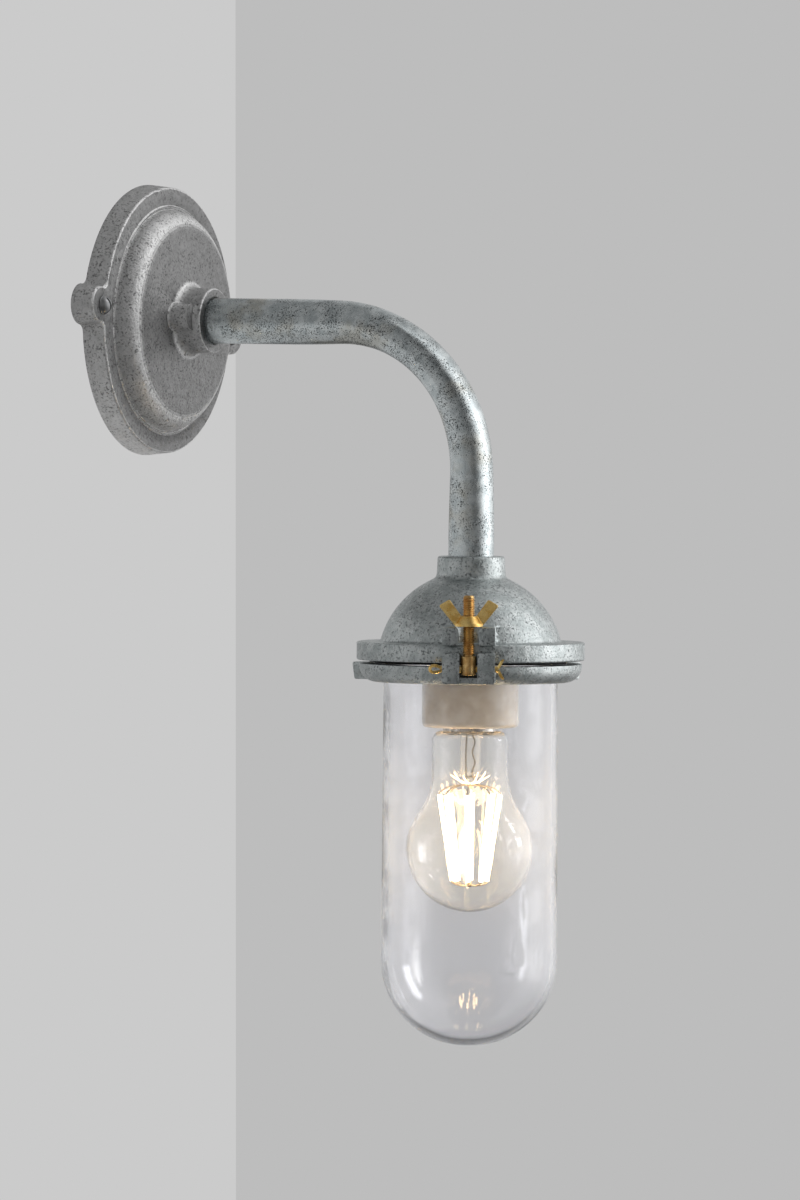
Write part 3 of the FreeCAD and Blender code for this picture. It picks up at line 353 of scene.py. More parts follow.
def plainMaterial(name, kind, light, dark, roughness, grain, depth, share):
    # worked metal with light tarnish, or clouded rubber, plastic, ceramic; a fine grain on both
    material, tree, shader, place = startMaterial(name)
    values = plainKinds[kind]
    cloud = ramp(tree, noise(tree, place, values["cloud"], values["detail"]), *values["spread"])
    feed(tree, shader, {
        "Base Color": mixColour(tree, cloud, shade(light), shade(dark)),
        "Roughness": ramp(tree, cloud, 0, 1, roughness, roughness + values["rougher"]),
        "Normal": bump(tree, noise(tree, place, grain * mm, 3), values["grainShare"], depth * mm),
    })
    if kind == "metal":
        shader.inputs["Metallic"].default_value = share
    else:
        feed(tree, shader, {"Coat Weight": share, "Coat Roughness": glazeRoughness})
    return material


glassFinish = {
    "well": {"tint": (252, 252, 254), "index": 1.47, "waveSize": 34 * mm, "waveDepth": 0.45 * mm,
             "dust": 0.012, "rimDust": 0.07, "dustColour": (236, 242, 252)},
    "bulb": {"tint": (254, 254, 252), "index": 1.47, "waveSize": 16 * mm, "waveDepth": 0.06 * mm,
             "dust": 0.011, "rimDust": 0.035, "dustColour": (236, 240, 248)},
    "stem": {"tint": (254, 254, 252), "index": 1.50, "waveSize": 9 * mm, "waveDepth": 0.10 * mm,
             "dust": 0.12, "rimDust": 0.35, "dustColour": (238, 240, 242)},
    "all": {"waveShare": 0.6, "hazeSize": 12 * mm, "hazeFrom": (0.35, 0.75), "hazeMost": 0.012,
            "dustSize": 20 * mm, "dustUneven": 0.4, "rimNarrow": 2.2},
}


def glassMaterial(glass):
    # clear glass under a thin film of dust; light rays pass, so that what stands inside is lit
    finish = {**glassFinish["all"], **glassFinish[glass]}
    material, tree, shader, place = startMaterial(glass + " glass")
    haze = noise(tree, place, finish["hazeSize"], 3)
    feed(tree, shader, {
        "Base Color": shade(finish["tint"]), "Transmission Weight": 1.0, "IOR": finish["index"],
        "Roughness": ramp(tree, haze, *finish["hazeFrom"], 0.0, finish["hazeMost"]),
        "Normal": bump(tree, noise(tree, place, finish["waveSize"], 1), finish["waveShare"], finish["waveDepth"]),
    })
    dustColour = {"Color": shade(finish["dustColour"])}
    throughDust = addNode(tree, "BsdfTranslucent", dustColour)
    onDust = addNode(tree, "BsdfDiffuse", dustColour)
    facing = addNode(tree, "LayerWeight").outputs["Facing"]
    edgeward = product(tree, combined(tree, "POWER", facing, finish["rimNarrow"]), finish["rimDust"])
    even = ramp(tree, noise(tree, place, finish["dustSize"], 4), *noiseSpan,
                finish["dust"] * (1 - finish["dustUneven"]), finish["dust"] * (1 + finish["dustUneven"]))
    dusty = mixShader(tree, combined(tree, "ADD", even, edgeward), shader, mixShader(tree, 0.5, throughDust, onDust))
    clear = addNode(tree, "BsdfTransparent", {"Color": shade(finish["tint"])})
    forLight = addNode(tree, "LightPath").outputs["Is Shadow Ray"]
    return surfaced(material, mixShader(tree, forLight, dusty, clear))


filamentGlow = {
    "colour": (255, 222, 172), "coat": (250, 214, 150), "strength": 30.0, "clipPaintedGlow": 7.0,
    "grain": 1.5 * mm, "dimmest": 0.85, "brightest": 1.1,
}


def glowMaterial(name, strength):
    # glow of a lit filament, also used as painted glow on the clips, which are no lamp: an even warm white coat with
    # a faint grain of brightness
    glow = filamentGlow
    material, tree, shader, place = startMaterial(name)
    grain = ramp(tree, noise(tree, place, glow["grain"], 2), *noiseSpan, glow["dimmest"], glow["brightest"])
    feed(tree, shader, {"Base Color": shade(glow["coat"]), "Emission Color": shade(glow["colour"]),
                        "Emission Strength": product(tree, grain, strength)})
    return material


materials = {
    "plate_casting": castMaterial("plate"),
    "head_casting": castMaterial("head"),
    "galvanised_tube": pipeMaterial(),
    "clear_glass": glassMaterial("well"),
    "bulb_clear_glass": glassMaterial("bulb"),
    "stem_glass": glassMaterial("stem"),
    "filament_glow": glowMaterial("lit filament", filamentGlow["strength"]),
    # the clips are no lamp: their glow is painted light
    "painted_glow_clip": glowMaterial("painted glow clip", filamentGlow["clipPaintedGlow"]),
    **{slot: plainMaterial(*finish) for slot, finish in plainFinishes.items()},
}
for subpart in frame["record"]["subparts"]:
    node = nodes[subpart["node"]]
    for slot in node.material_slots:
        slot.material = materials[subpart["material_slot"]]
for slot in nodes["bulb_stem"].material_slots:
    slot.material = materials["stem_glass"]
print("finishes on", len(nodes), "nodes")


# Bracket pipe as one smooth sweep

bracketPipe = {
    "reach": 172.0 * mm, "bendRadius": 69.0 * mm, "drop": 118.9 * mm, "start": 15.0 * mm, "runIn": 12.974 * mm,
    "outer": 10.65 * mm, "bore": 8.0 * mm, "flattened": 0.84, "widened": 1.04,
    "shares": [0, 0.08, 0.29, 0.55, 0.83, 0.95, 1, 0.95, 0.8, 0.64, 0.49, 0.26, 0], "runInStations": 2,
    "around": 96, "perStation": 7, "straightSteps": 12,
}


def softShare(place):
    # flattening between two stations, without a corner at either
    shares = bracketPipe["shares"]
    low = max(0, min(int(place), len(shares) - 2))
    value = curveShare(shares[max(low - 1, 0)], shares[low], shares[low + 1],
                       shares[min(low + 2, len(shares) - 1)], place - low)
    return min(1.0, max(0.0, value))


def pipeSpine():
    # centre, way ahead and flattening along the pipe
    pipe = bracketPipe
    radius, straight = pipe["bendRadius"], pipe["straightSteps"]
    stations = len(pipe["shares"])
    steps = stations - 1 - 2 * pipe["runInStations"]
    bent = []
    for index in range((stations - 1) * pipe["perStation"] + 1):
        place = index / pipe["perStation"]
        step = place - pipe["runInStations"]
        onBend = min(max(step, 0), steps)
        bend = math.radians(90 * onBend / steps)
        ahead = Vector((math.cos(bend), 0, -math.sin(bend)))
        centre = Vector((pipe["reach"] - radius + radius * math.sin(bend), 0, radius * (math.cos(bend) - 1)))
        bent.append((centre + ahead * (step - onBend) * pipe["runIn"], ahead, softShare(place)))
    plateEnd, headEnd = Vector((pipe["start"], 0, 0)), Vector((pipe["reach"], 0, -pipe["drop"]))
    (first, outward, _), (last, downward, _) = bent[0], bent[-1]
    before = [(plateEnd.lerp(first, index / straight), outward, 0.0) for index in range(straight)]
    after = [(last.lerp(headEnd, (index + 1) / straight), downward, 0.0) for index in range(straight)]
    return before + bent + after


def pipeRing(centre, ahead, share, wall):
    # outer ring of the pipe, or an inner one at a depth in its wall
    pipe = bracketPipe
    inPlane = pipe["outer"] * (1 - (1 - pipe["flattened"]) * share) - wall
    sideways = pipe["outer"] * (1 + (pipe["widened"] - 1) * share) - wall
    across = Vector((0, 1, 0))
    upright = ahead.cross(across)
    return [centre + across * (sideways * math.cos(angle)) + upright * (inPlane * math.sin(angle))
            for angle in turns(pipe["around"])]


def makePipe():
    spine = pipeSpine()
    wall = bracketPipe["outer"] - bracketPipe["bore"]
    rows = [pipeRing(*place, 0.0) for place in spine] + [pipeRing(*place, wall) for place in reversed(spine)]
    piece = gridPiece("pipeArm", rows, closedAlong=True)
    return dressed(piece, "bracket", "galvanised_tube", "bracket_pipe")


# Places that several pieces share, from the part's driving sizes

lampSpot = Vector((172.0 * mm, 0, -147.9 * mm))
fork = {"turn": -63.5, "reach": 57.0 * mm, "pinDrop": 11.1 * mm}
forkAngle = math.radians(fork["turn"])
forkOut = Vector((math.cos(forkAngle), math.sin(forkAngle), 0))
forkSide = Vector((-math.sin(forkAngle), math.cos(forkAngle), 0))
upward = Vector((0, 0, 1))
forkSpot = lampSpot + forkOut * fork["reach"]
pinSpot = forkSpot - upward * fork["pinDrop"]


# Cutting and joining of solids

def roundRod(name, radius, start, end, around=48):
    ahead = (end - start).normalized()
    across = ahead.orthogonal().normalized()
    return closedPiece(name, [roundRow(place, ahead, across, radius, around) for place in (start, end)])


def squareBlock(name, low, high):
    corners = ((low[0], low[1]), (high[0], low[1]), (high[0], high[1]), (low[0], high[1]))
    return closedPiece(name, [[Vector((x, y, z)) for x, y in corners] for z in (low[2], high[2])])


def settled(piece):
    # the piece's mesh with its modifiers applied
    bpy.context.view_layer.update()
    shown = piece.evaluated_get(bpy.context.evaluated_depsgraph_get())
    data = bpy.data.meshes.new_from_object(shown)
    piece.modifiers.clear()
    piece.data = data
    return piece


def cutWith(piece, cutter, operation="DIFFERENCE"):
    change = piece.modifiers.new("cut", "BOOLEAN")
    change.operation = operation
    change.solver = "EXACT"
    change.object = cutter
    settled(piece)
    bpy.data.objects.remove(cutter)
    return piece


def standAt(piece, spot, first=Vector((1, 0, 0)), second=Vector((0, 1, 0)), third=upward):
    # from the piece's own frame into the frame of the part
    turn = Matrix((first, second, third)).transposed().to_4x4()
    piece.data.transform(Matrix.Translation(spot) @ turn)
    return piece


# Threads

threadShape = {"flat": 0.1, "flank": 0.78, "runOut": 0.8}  # shares of the pitch


def ridgeShare(thread, angle, height):
    # how high the helical ridge stands here, from 0 at the root to 1 at the crest, running out at both ends
    turn = (height / thread["pitch"] - angle / (2 * math.pi)) % 1.0
    if thread["form"] == "round":
        ridge = 0.5 - 0.5 * math.cos(2 * math.pi * turn)
    else:
        ridge = min(1.0, max(0.0, (abs(2 * turn - 1) - threadShape["flat"]) / threadShape["flank"]))
    fromLow = height - thread["low"] - thread.get("plainStart", 0.0)
    runOut = min(fromLow, thread["high"] - height) / (thread["pitch"] * threadShape["runOut"])
    return ridge * min(1.0, max(0.0, runOut))


def plainThread(thread, height):
    # radius of root and crest, both drawn in toward a point where the thread has one
    taper = thread.get("taper", 0.0) * max(0.0, thread["low"] + thread.get("point", 0.0) - height)
    return thread["root"] - taper, thread["crest"] - taper


def threadRows(thread, around, radiiAt=plainThread, sheet=0.0, leastAt=lambda height: 0.0):
    # rows along a thread, or along the other side of the sheet that it is rolled in
    steps = int((thread["high"] - thread["low"]) / thread["pitch"] * thread["perTurn"])
    rows = []
    for index in range(steps + 1):
        height = thread["low"] + (thread["high"] - thread["low"]) * index / steps
        root, crest = radiiAt(thread, height)
        least = leastAt(height)

        def skinAt(angle):
            return max(root + (crest - root) * ridgeShare(thread, angle, height) + sheet, least)

        rows.append(ringRow(skinAt, height, around))
    return rows


# Swing bolt: threaded stud with a thick cross-drilled foot

swingBolt = {
    "thread": {"form": "sharp", "root": 2.38 * mm, "crest": 2.9 * mm, "pitch": 1.0 * mm, "low": -4.6 * mm,
               "high": 22.3 * mm, "perTurn": 8},
    "foot": [(0, -13.8, 0), (3.6, -13.8, 0.7), (3.6, -4.9, 0.7), (2.38, -4.9, 0)],
    "tip": [(2.28, 22.75, 0), (1.88, 23.0, 0), (0, 23.0, 0)], "hole": 1.56 * mm, "around": 56, "arcSteps": 5,
}


def makeSwingBolt():
    bolt = swingBolt
    foot, tip = (turnedRows(roundedOutline(bolt[end], bolt["arcSteps"]), bolt["around"]) for end in ("foot", "tip"))
    piece = gridPiece("swingBoltStud", foot + threadRows(bolt["thread"], bolt["around"]) + tip)
    centre, aside = upward * -fork["pinDrop"], Vector((0, 6 * mm, 0))
    cutWith(piece, roundRod("boltHole", bolt["hole"], centre - aside, centre + aside))
    standAt(piece, forkSpot, forkOut, forkSide)
    return dressed(piece, "swing_bolt", "brass", "swing_bolt", finish="bolt_brass")


# Wing nut: pressed brass, soft edges

wingNut = {
    "hub": [(0, 8.2, 0), (6.6, 8.2, 0), (6.6, 8.7, 0), (6.3, 10.0, 0.9), (4.0, 13.5, 0.5), (0, 13.5, 0)],
    "wing": [(3.2, 13.1, 0), (9.0, 21.2, 0.9), (13.9, 18.3, 0.9), (6.6, 9.2, 0), (0, 9.2, 0), (0, 13.1, 0)],
    "seat": 8.7 * mm, "bore": 2.95 * mm, "thickness": 2.3 * mm, "cell": 0.17 * mm, "softening": 3,
    "arcSteps": 6, "around": 72, "sharpFrom": 55,
}


def wingBlade(side):
    # flat blade seen broadside, its two tip corners rounded
    nut = wingNut
    corners = [(along * side, rise, rounding) for along, rise, rounding in nut["wing"]]
    outline = roundedOutline(corners, nut["arcSteps"])
    half = nut["thickness"] / 2
    return closedPiece("wingBlade", [[Vector((depth, *point)) for point in outline] for depth in (-half, half)])


def makeWingNut():
    nut = wingNut
    piece = gridPiece("wingNutBody", turnedRows(roundedOutline(nut["hub"], nut["arcSteps"]), nut["around"]))
    for side in (-1, 1):
        cutWith(piece, wingBlade(side), "UNION")
    skin = piece.modifiers.new("skin", "REMESH")
    skin.mode = "VOXEL"
    skin.voxel_size = nut["cell"]
    soft = piece.modifiers.new("soft", "SMOOTH")
    soft.factor = 0.5
    soft.iterations = nut["softening"]
    settled(piece)
    wide, below, above = 20 * mm, nut["seat"] - 3 * mm, nut["seat"] + 20 * mm
    cutWith(piece, squareBlock("nutFoot", (-wide, -wide, below), (wide, wide, nut["seat"])))
    cutWith(piece, roundRod("nutBore", nut["bore"], upward * below, upward * above, nut["around"]))
    standAt(piece, forkSpot, forkOut, forkSide)
    return dressed(piece, "wing_nut", "brass", "wing_nut", sharpFrom=nut["sharpFrom"])


# Split pin: one half-round wire, bent back on itself round its eye

splitPin = {
    "wire": 1.45 * mm, "eyeNear": -13.0 * mm, "eyeFar": -17.2 * mm, "eyeRise": 1.1 * mm, "bendAt": 13.6 * mm,
    "bendRadius": 1.0 * mm, "legLength": 4.4 * mm, "legLean": 62.0, "gap": 0.03 * mm, "tips": (0.55, 0.86, 0.97),
    "legSteps": 6, "straightSteps": 10, "eyeSteps": 15, "halfRound": 12,
}


def pinPath():
    # way of the wire's flat side, as (along the pin, up), from the tip of the upper leg round the eye to the lower
    pin = splitPin
    lean = math.radians(pin["legLean"])

    def onBend(turned):
        return Vector((pin["bendAt"] + pin["bendRadius"] * math.sin(turned),
                       pin["gap"] + pin["bendRadius"] * (1 - math.cos(turned))))

    steps = pin["legSteps"]
    legWay = Vector((math.cos(lean), math.sin(lean))) * pin["legLength"]
    upper = [onBend(lean) + legWay * index / steps for index in range(steps, 0, -1)]
    upper += [onBend(lean * index / steps) for index in range(steps, -1, -1)]
    for index in range(pin["straightSteps"]):
        along = pin["bendAt"] + (pin["eyeNear"] - pin["bendAt"]) * (index + 1) / pin["straightSteps"]
        upper.append(Vector((along, pin["gap"])))
    middle = (pin["eyeNear"] + pin["eyeFar"]) / 2
    half = (pin["eyeNear"] - pin["eyeFar"]) / 2
    for index in range(2, pin["eyeSteps"]):
        part = math.pi * index / pin["eyeSteps"]
        rise = pin["eyeRise"] * math.sin(part) * math.sin(part / 2)
        upper.append(Vector((middle + half * math.cos(part), pin["gap"] + rise)))
    lower = [Vector((point.x, -point.y)) for point in reversed(upper)]
    return upper + [Vector((pin["eyeFar"], 0))] + lower


def makeSplitPin():
    pin = splitPin
    path = pinPath()
    rows = []
    for index, point in enumerate(path):
        ahead = wayAt(path, index)
        outward = Vector((ahead.y, -ahead.x))
        fromEnd = min(index, len(path) - 1 - index)
        wire = pin["wire"] * (pin["tips"][fromEnd] if fromEnd < len(pin["tips"]) else 1)
        row = []
        for step in range(pin["halfRound"] + 1):
            angle = math.pi * step / pin["halfRound"]
            flat = point + outward * (wire * math.sin(angle))
            row.append(Vector((wire * math.cos(angle), flat.x, flat.y)))
        rows.append(row)
    piece = closedPiece("splitPinWire", rows)
    standAt(piece, pinSpot, forkOut, forkSide)
    return dressed(piece, "bracket", "brass", "split_pin")


# Wall screws: round slotted heads, plain shanks, threads that bite the wall behind the plate

wallScrew = {
    "thread": {"form": "sharp", "root": 1.65 * mm, "crest": 2.2 * mm, "pitch": 1.8 * mm, "low": -33.8 * mm,
               "high": -11.2 * mm, "perTurn": 10, "taper": 0.26, "point": 5.0 * mm},
    "shank": 2.4 * mm, "head": 4.65 * mm, "headHeight": 3.6 * mm, "rim": 0.3 * mm, "rimHeight": 0.35 * mm,
    "crownSteps": 14, "tip": 0.2 * mm, "slot": 1.1 * mm, "slotDepth": 1.6 * mm,
    "slotTurn": 21.0, "plate": 11.0 * mm, "reach": 63.5 * mm, "turn": -7.0, "around": 40, "sharpFrom": 40,
}


def makeWallScrews():
    screw = wallScrew
    ball = (screw["head"] ** 2 + screw["headHeight"] ** 2) / (2 * screw["headHeight"])
    crown = [(screw["shank"], -screw["plate"]), (screw["shank"], 0), (screw["head"] - screw["rim"], 0),
             (screw["head"], screw["rimHeight"])]
    start = math.asin(min(1.0, screw["head"] / ball))
    for index in range(1, screw["crownSteps"] + 1):
        angle = start * (1 - index / screw["crownSteps"])
        crown.append((ball * math.sin(angle), screw["headHeight"] - ball + ball * math.cos(angle)))
    around = screw["around"]
    rows = (turnedRows([(0, screw["thread"]["low"] - screw["tip"])], around) + threadRows(screw["thread"], around)
            + turnedRows(crown, around))
    piece = gridPiece("wallScrewPair", rows)
    deep = screw["headHeight"] - screw["slotDepth"]
    half, long, clear = screw["slot"] / 2, 9 * mm, deep + 6 * mm
    slotCut = squareBlock("screwSlot", (-half, -long, deep), (half, long, clear))
    slotCut.data.transform(Matrix.Rotation(math.radians(screw["slotTurn"]), 4, "Z"))
    cutWith(piece, slotCut)
    both = bmesh.new()
    toWall = Matrix(((0, 1, 0), (0, 0, 1), (1, 0, 0))).transposed().to_4x4()
    for halfTurn in (0, 180):
        angle = math.radians(screw["turn"] + halfTurn)
        outward = Vector((0, math.cos(angle), math.sin(angle)))
        copy = piece.data.copy()
        copy.transform(Matrix.Translation(Vector((screw["plate"], 0, 0)) + outward * screw["reach"]) @ toWall)
        both.from_mesh(copy)
        bpy.data.meshes.remove(copy)
    both.to_mesh(piece.data)
    both.free()
    return dressed(piece, "bracket", "zinc_steel", "wall_screws", sharpFrom=screw["sharpFrom"])


# Screw shells of bulb and lampholder: rolled round threads

shellThread = {"form": "round", "pitch": 3.629 * mm, "around": 96, "perTurn": 12}
bulbCap = {
    **shellThread, "low": -41.4 * mm, "high": -20.6 * mm, "plainStart": 0.8 * mm, "crest": 13.0 * mm,
    "root": 12.15 * mm, "sealTop": -33.0 * mm, "sealSpan": 2 * mm, "sealRoot": 12.78 * mm, "sealInside": 12.46 * mm,
    "sealReach": 1.2 * mm, "sheet": 0.3 * mm,
    "shoulder": [(12.15, -20.1, 0), (11.8, -19.37, 0), (11.25, -19.02, 0), (10.52, -19.02, 0), (10.52, -19.32, 0),
                 (11.15, -19.32, 0), (11.55, -19.82, 0)],
}
holderThread = {
    **shellThread, "low": -38.4 * mm, "high": -13.05 * mm, "root": 13.16 * mm, "crest": 13.4 * mm, "sheet": 0.28 * mm,
}


def sealedThread(cap, height):
    # the root is wider where the cap grips the glass
    seal = min(1.0, max(0.0, (cap["sealTop"] - height) / cap["sealSpan"] + 0.5))
    return cap["root"] + (cap["sealRoot"] - cap["root"]) * seal, cap["crest"]


def leastInside(height):
    # room for the glass in the low end of the cap
    return bulbCap["sealInside"] if height < bulbCap["sealTop"] + bulbCap["sealReach"] else 0.0


def makeBulbCap():
    around = bulbCap["around"]
    outside = threadRows(bulbCap, around, sealedThread)
    inside = threadRows(bulbCap, around, sealedThread, -bulbCap["sheet"], leastInside)
    shoulder = turnedRows(roundedOutline(bulbCap["shoulder"], 1), around)
    piece = standAt(gridPiece("bulbCapShell", outside + shoulder + inside[::-1], closedAlong=True), lampSpot)
    return dressed(piece, "bulb", "cap_nickel", "bulb_cap")


def makeHolderShell():
    shell = holderThread
    inside = threadRows(shell, shell["around"])
    outside = threadRows(shell, shell["around"], sheet=shell["sheet"])
    piece = standAt(gridPiece("holderThreadShell", inside + outside[::-1], closedAlong=True), lampSpot)
    return dressed(piece, "bracket", "brass", "holder_shell")


# Well glass and bulb glass: turned, with even walls. Sizes in millimetres under the flange

wellGlass = {
    "outline": [(0, -185.4, 0), (38.4, -185.4, 37.2), (37.7, -9.7, 0.9), (45.0, -9.7, 1.2), (45.0, -14.2, 1.2),
                (40.52, -14.2, 1.0), (41.2, -188.2, 40.0), (0, -188.2, 0)],
    "arcSteps": 28, "around": 160, "sharpFrom": 35,
}
bulbGlass = {
    "radius": 29.3, "centre": -96.7, "leave": 34.0, "neck": 17.85, "neckTop": -41.4, "shoulder": 4.5, "throat": 30.0,
    "seal": 12.4, "sealTop": -33.4, "wall": 0.8, "arcSteps": 22, "around": 128, "sharpFrom": 35,
}


def turnedGlass(name, outline, glass, body, slotName, node):
    piece = standAt(gridPiece(name, turnedRows(outline, glass["around"])), lampSpot)
    return dressed(piece, body, slotName, node, sharpFrom=glass["sharpFrom"])


def makeWellGlass():
    outline = roundedOutline(wellGlass["outline"], wellGlass["arcSteps"])
    return turnedGlass("wellGlassBody", outline, wellGlass, "bracket", "clear_glass", "well_glass")


def bulbSide(inset):
    # from the seal down to the lowest point, drawn in by the inset
    bulb = bulbGlass
    radius, neck, seal = bulb["radius"] - inset, bulb["neck"] - inset, bulb["seal"] - inset
    neckTop = bulb["neckTop"] - inset
    leave = math.radians(bulb["leave"])
    throat = bulb["centre"] + radius * math.sin(leave) + (radius * math.cos(leave) - neck) / math.tan(leave)
    middle = (leave - math.pi / 2) / 2
    reach = radius / math.cos((leave + math.pi / 2) / 2)
    return roundedOutline([
        (seal, bulb["sealTop"], 0),
        (seal, neckTop, 0),
        (neck, neckTop, bulb["shoulder"] - inset),
        (neck, throat, bulb["throat"]),
        (reach * math.cos(middle), bulb["centre"] + reach * math.sin(middle), radius),
        (0, bulb["centre"] - radius, 0),
    ], bulb["arcSteps"])


def makeBulbGlass():
    outline = bulbSide(bulbGlass["wall"])[::-1] + bulbSide(0)
    return turnedGlass("bulbGlassBody", outline, bulbGlass, "bulb", "bulb_clear_glass", "bulb_glass")


# Wires of the bulb: leads in the stem, fine wires to the filaments, clips in a star over them that carry a painted
# glow, as they are no lamp.
# Millimetres, a route is (distance from the axis, height), a lead is (distance, sway, beat of the sway, depth of its
# twist)

bulbWires = {
    "count": 8, "offset": 0.5, "wire": 0.28, "beads": [(1.25, -67.0), (1.0625, -113.4)],
    "high": [(0.8, -66.8), (5.0, -66.9), (10.5, -68.0), (13.9, -70.2), (14.2, -71.3)],
    "low": [(0.8, -113.4), (4.5, -113.6), (7.9, -112.4), (8.1, -111.5)],
    "leads": [(-1.3, 0.12, 0.2, 0.0), (1.3, 0.35, 0.55, 0.3)], "leadTop": -36.0, "leadFoot": -66.6, "leadSteps": 39,
    "twistBeat": 0.5, "beadRows": {"u_segments": 20, "v_segments": 12},
}
bulbClips = {
    "count": 8, "offset": 0.2, "wire": 0.36, "thick": 1.25, "thinner": 0.9,
    "routes": [[(1.6, -66.1), (5.0, -65.0), (9.6, -62.2)], [(1.6, -66.1), (5.0, -65.0), (8.2, -60.6)]],
}


def tubeAlong(mesh, points, radii, around=10):
    # round wire through points (millimetres under the flange), added to the mesh
    slanting = Vector((0.31, 0.17, 0.93))  # no wire runs this way
    rows = []
    for index, point in enumerate(points):
        ahead = wayAt(points, index)
        across = ahead.cross(slanting).normalized()
        rows.append([lampSpot + place * mm for place in roundRow(point, ahead, across, radii[index], around)])
    made = addSkin(mesh, rows)
    for ring in (made[0], made[-1]):
        mesh.faces.new(ring)


def spokePath(angle, route, perSpan=6):
    # smooth way of a wire in an upright plane through the axis; route as (distance from the axis, height)
    outward = Vector((math.cos(angle), math.sin(angle), 0))
    points = [outward * reach + Vector((0, 0, level)) for reach, level in route]
    path = []
    for index in range(len(points) - 1):
        ends = (points[max(index - 1, 0)], points[index], points[index + 1], points[min(index + 2, len(points) - 1)])
        path += [curveShare(*ends, step / perSpan) for step in range(perSpan)]
    return path + [points[-1]]


def makeBulbWires():
    wires = bulbWires
    mesh = bmesh.new()
    for radius, height in wires["beads"]:
        spot = Matrix.Translation(lampSpot + upward * (height * mm))
        bmesh.ops.create_uvsphere(mesh, radius=radius * mm, matrix=spot, **wires["beadRows"])
    angles = turns(wires["count"], wires["offset"])
    paths = [spokePath(angle, wires[route]) for angle in angles for route in ("high", "low")]
    for reach, sway, beat, twist in wires["leads"]:
        path = []
        for step in range(wires["leadSteps"] + 1):
            level = wires["leadTop"] + (wires["leadFoot"] - wires["leadTop"]) * step / wires["leadSteps"]
            aside = twist * math.cos(step * wires["twistBeat"])
            path.append(Vector((reach + sway * math.sin(step * beat), aside, level)))
        paths.append(path)
    for path in paths:
        tubeAlong(mesh, path, [wires["wire"]] * len(path))
    return dressed(fromMesh("bulbFineWires", mesh), "bulb", "support_wire", "filament_wires")


def makeBulbClips():
    clips = bulbClips
    mesh = bmesh.new()
    for index, angle in enumerate(turns(clips["count"], clips["offset"])):
        path = spokePath(angle, clips["routes"][index % 2])
        last = len(path) - 1
        radii = [clips["wire"] * (clips["thick"] - clips["thinner"] * step / last) for step in range(last + 1)]
        tubeAlong(mesh, path, radii)
    # the clips get the painted glow, weaker than the filaments'
    return dressed(fromMesh("filamentClips", mesh), "bulb", "filament_glow", finish="painted_glow_clip")


for maker in (makePipe, makeSwingBolt, makeWingNut, makeSplitPin, makeWallScrews, makeBulbCap, makeHolderShell,
              makeWellGlass, makeBulbGlass, makeBulbWires, makeBulbClips):
    made = maker()
    print(made.name, len(made.data.vertices), "points")


# Castings with softened edges, made from copies of the CAD meshes

softEdge = {
    "wall_plate": {"name": "wallPlateCasting", "width": 0.45 * mm, "slot": "plate_casting"},
    "lamp_head": {"name": "lampHeadCasting", "width": 0.45 * mm, "slot": "head_casting"},
    "glass_ring": {"name": "glassRingCasting", "width": 0.40 * mm, "slot": "head_casting"},
    "all": {"join": 0.002 * mm, "flatBelow": 0.3, "roundFrom": 38, "segments": 2, "sharpFrom": 34},
}


def makeSoftCasting(nodeName):
    settings = {**softEdge["all"], **softEdge[nodeName]}
    source = nodes[nodeName]
    data = source.data.copy()
    data.transform(source.matrix_world)
    mesh = bmesh.new()
    mesh.from_mesh(data)
    bmesh.ops.remove_doubles(mesh, verts=mesh.verts, dist=settings["join"])
    flat = [edge for edge in mesh.edges if edge.calc_face_angle(math.pi) < math.radians(settings["flatBelow"])]
    bmesh.ops.dissolve_edges(mesh, edges=flat, use_verts=False)
    outer = [edge for edge in mesh.edges if edge.calc_face_angle_signed(0) > math.radians(settings["roundFrom"])]
    bmesh.ops.bevel(mesh, geom=outer, offset=settings["width"], segments=settings["segments"], profile=0.5,
                    affect="EDGES", clamp_overlap=True)
    bmesh.ops.triangulate(mesh, faces=[face for face in mesh.faces if len(face.verts) > 4])
    mesh.to_mesh(data)
    mesh.free()
    return dressed(linked(settings["name"], data), "bracket", settings["slot"], nodeName,
                   sharpFrom=settings["sharpFrom"])


for nodeName in ("wall_plate", "lamp_head", "glass_ring"):
    made = makeSoftCasting(nodeName)
    print(made.name, len(made.data.vertices), "points")


# Studio: wall, floor, room, lamps, camera

view = {
    "turn": 27.7, "lift": 1.58, "roll": 0.32, "distance": 8.0,
    "aim": Vector((0.1347, 0.0, -0.1292)), "lens": 514.6,
}
turn = math.radians(view["turn"])
lift = math.radians(view["lift"])
toRight = Vector((math.cos(turn), math.sin(turn), 0))
toFront = Vector((math.sin(turn), -math.cos(turn), 0))
toCamera = toFront * math.cos(lift) + upward * math.sin(lift)

# greys of wall and background as the camera sees them, greys of foot, middle and top in reflections, places
studio = {
    "wallShade": 203, "farShade": 189, "litShade": 200, "matt": 0.9,
    "wallReflected": (164, 198, 142), "floorReflected": (78, 78, 78),
    "footLevels": (-0.15, -0.11), "topLevels": (-0.075, 0.005),
    "wallEdge": 0.0903, "edgeLevel": -0.13, "wallBack": -0.0008, "floorLevel": -0.95, "size": 3.0,
}
# light panels that show only as reflections in clear glass. Each: stretch along the wall, stretch of height, soft
# edge, brightness, and whether all clear glass shows it or only the inside of the bulb
wallPanels = [
    ((-0.40, 0.16), (-0.46, -0.12), 0.040, 0.22, "clear"),
    ((-0.32, -0.14), (-0.30, -0.10), 0.030, 0.55, "clear"),
    ((-0.225, -0.160), (-0.43, -0.306), 0.012, 4.5, "clear"),
    ((-0.115, -0.055), (-0.300, -0.225), 0.020, 4.5, "bulb"),
]
# the same far off: degrees to the right of the camera, sine of the angle of height
roomPanels = [
    ((84, 112), (-0.30, 0.10), 7, 0.7, "clear"),
    ((96, 110), (0.08, 0.62), 4, 9.0, "bulb"),
]
roomSoftHeight = 0.06
bulbDepth = 3.5  # a ray from inside the bulb has passed more walls of glass than this


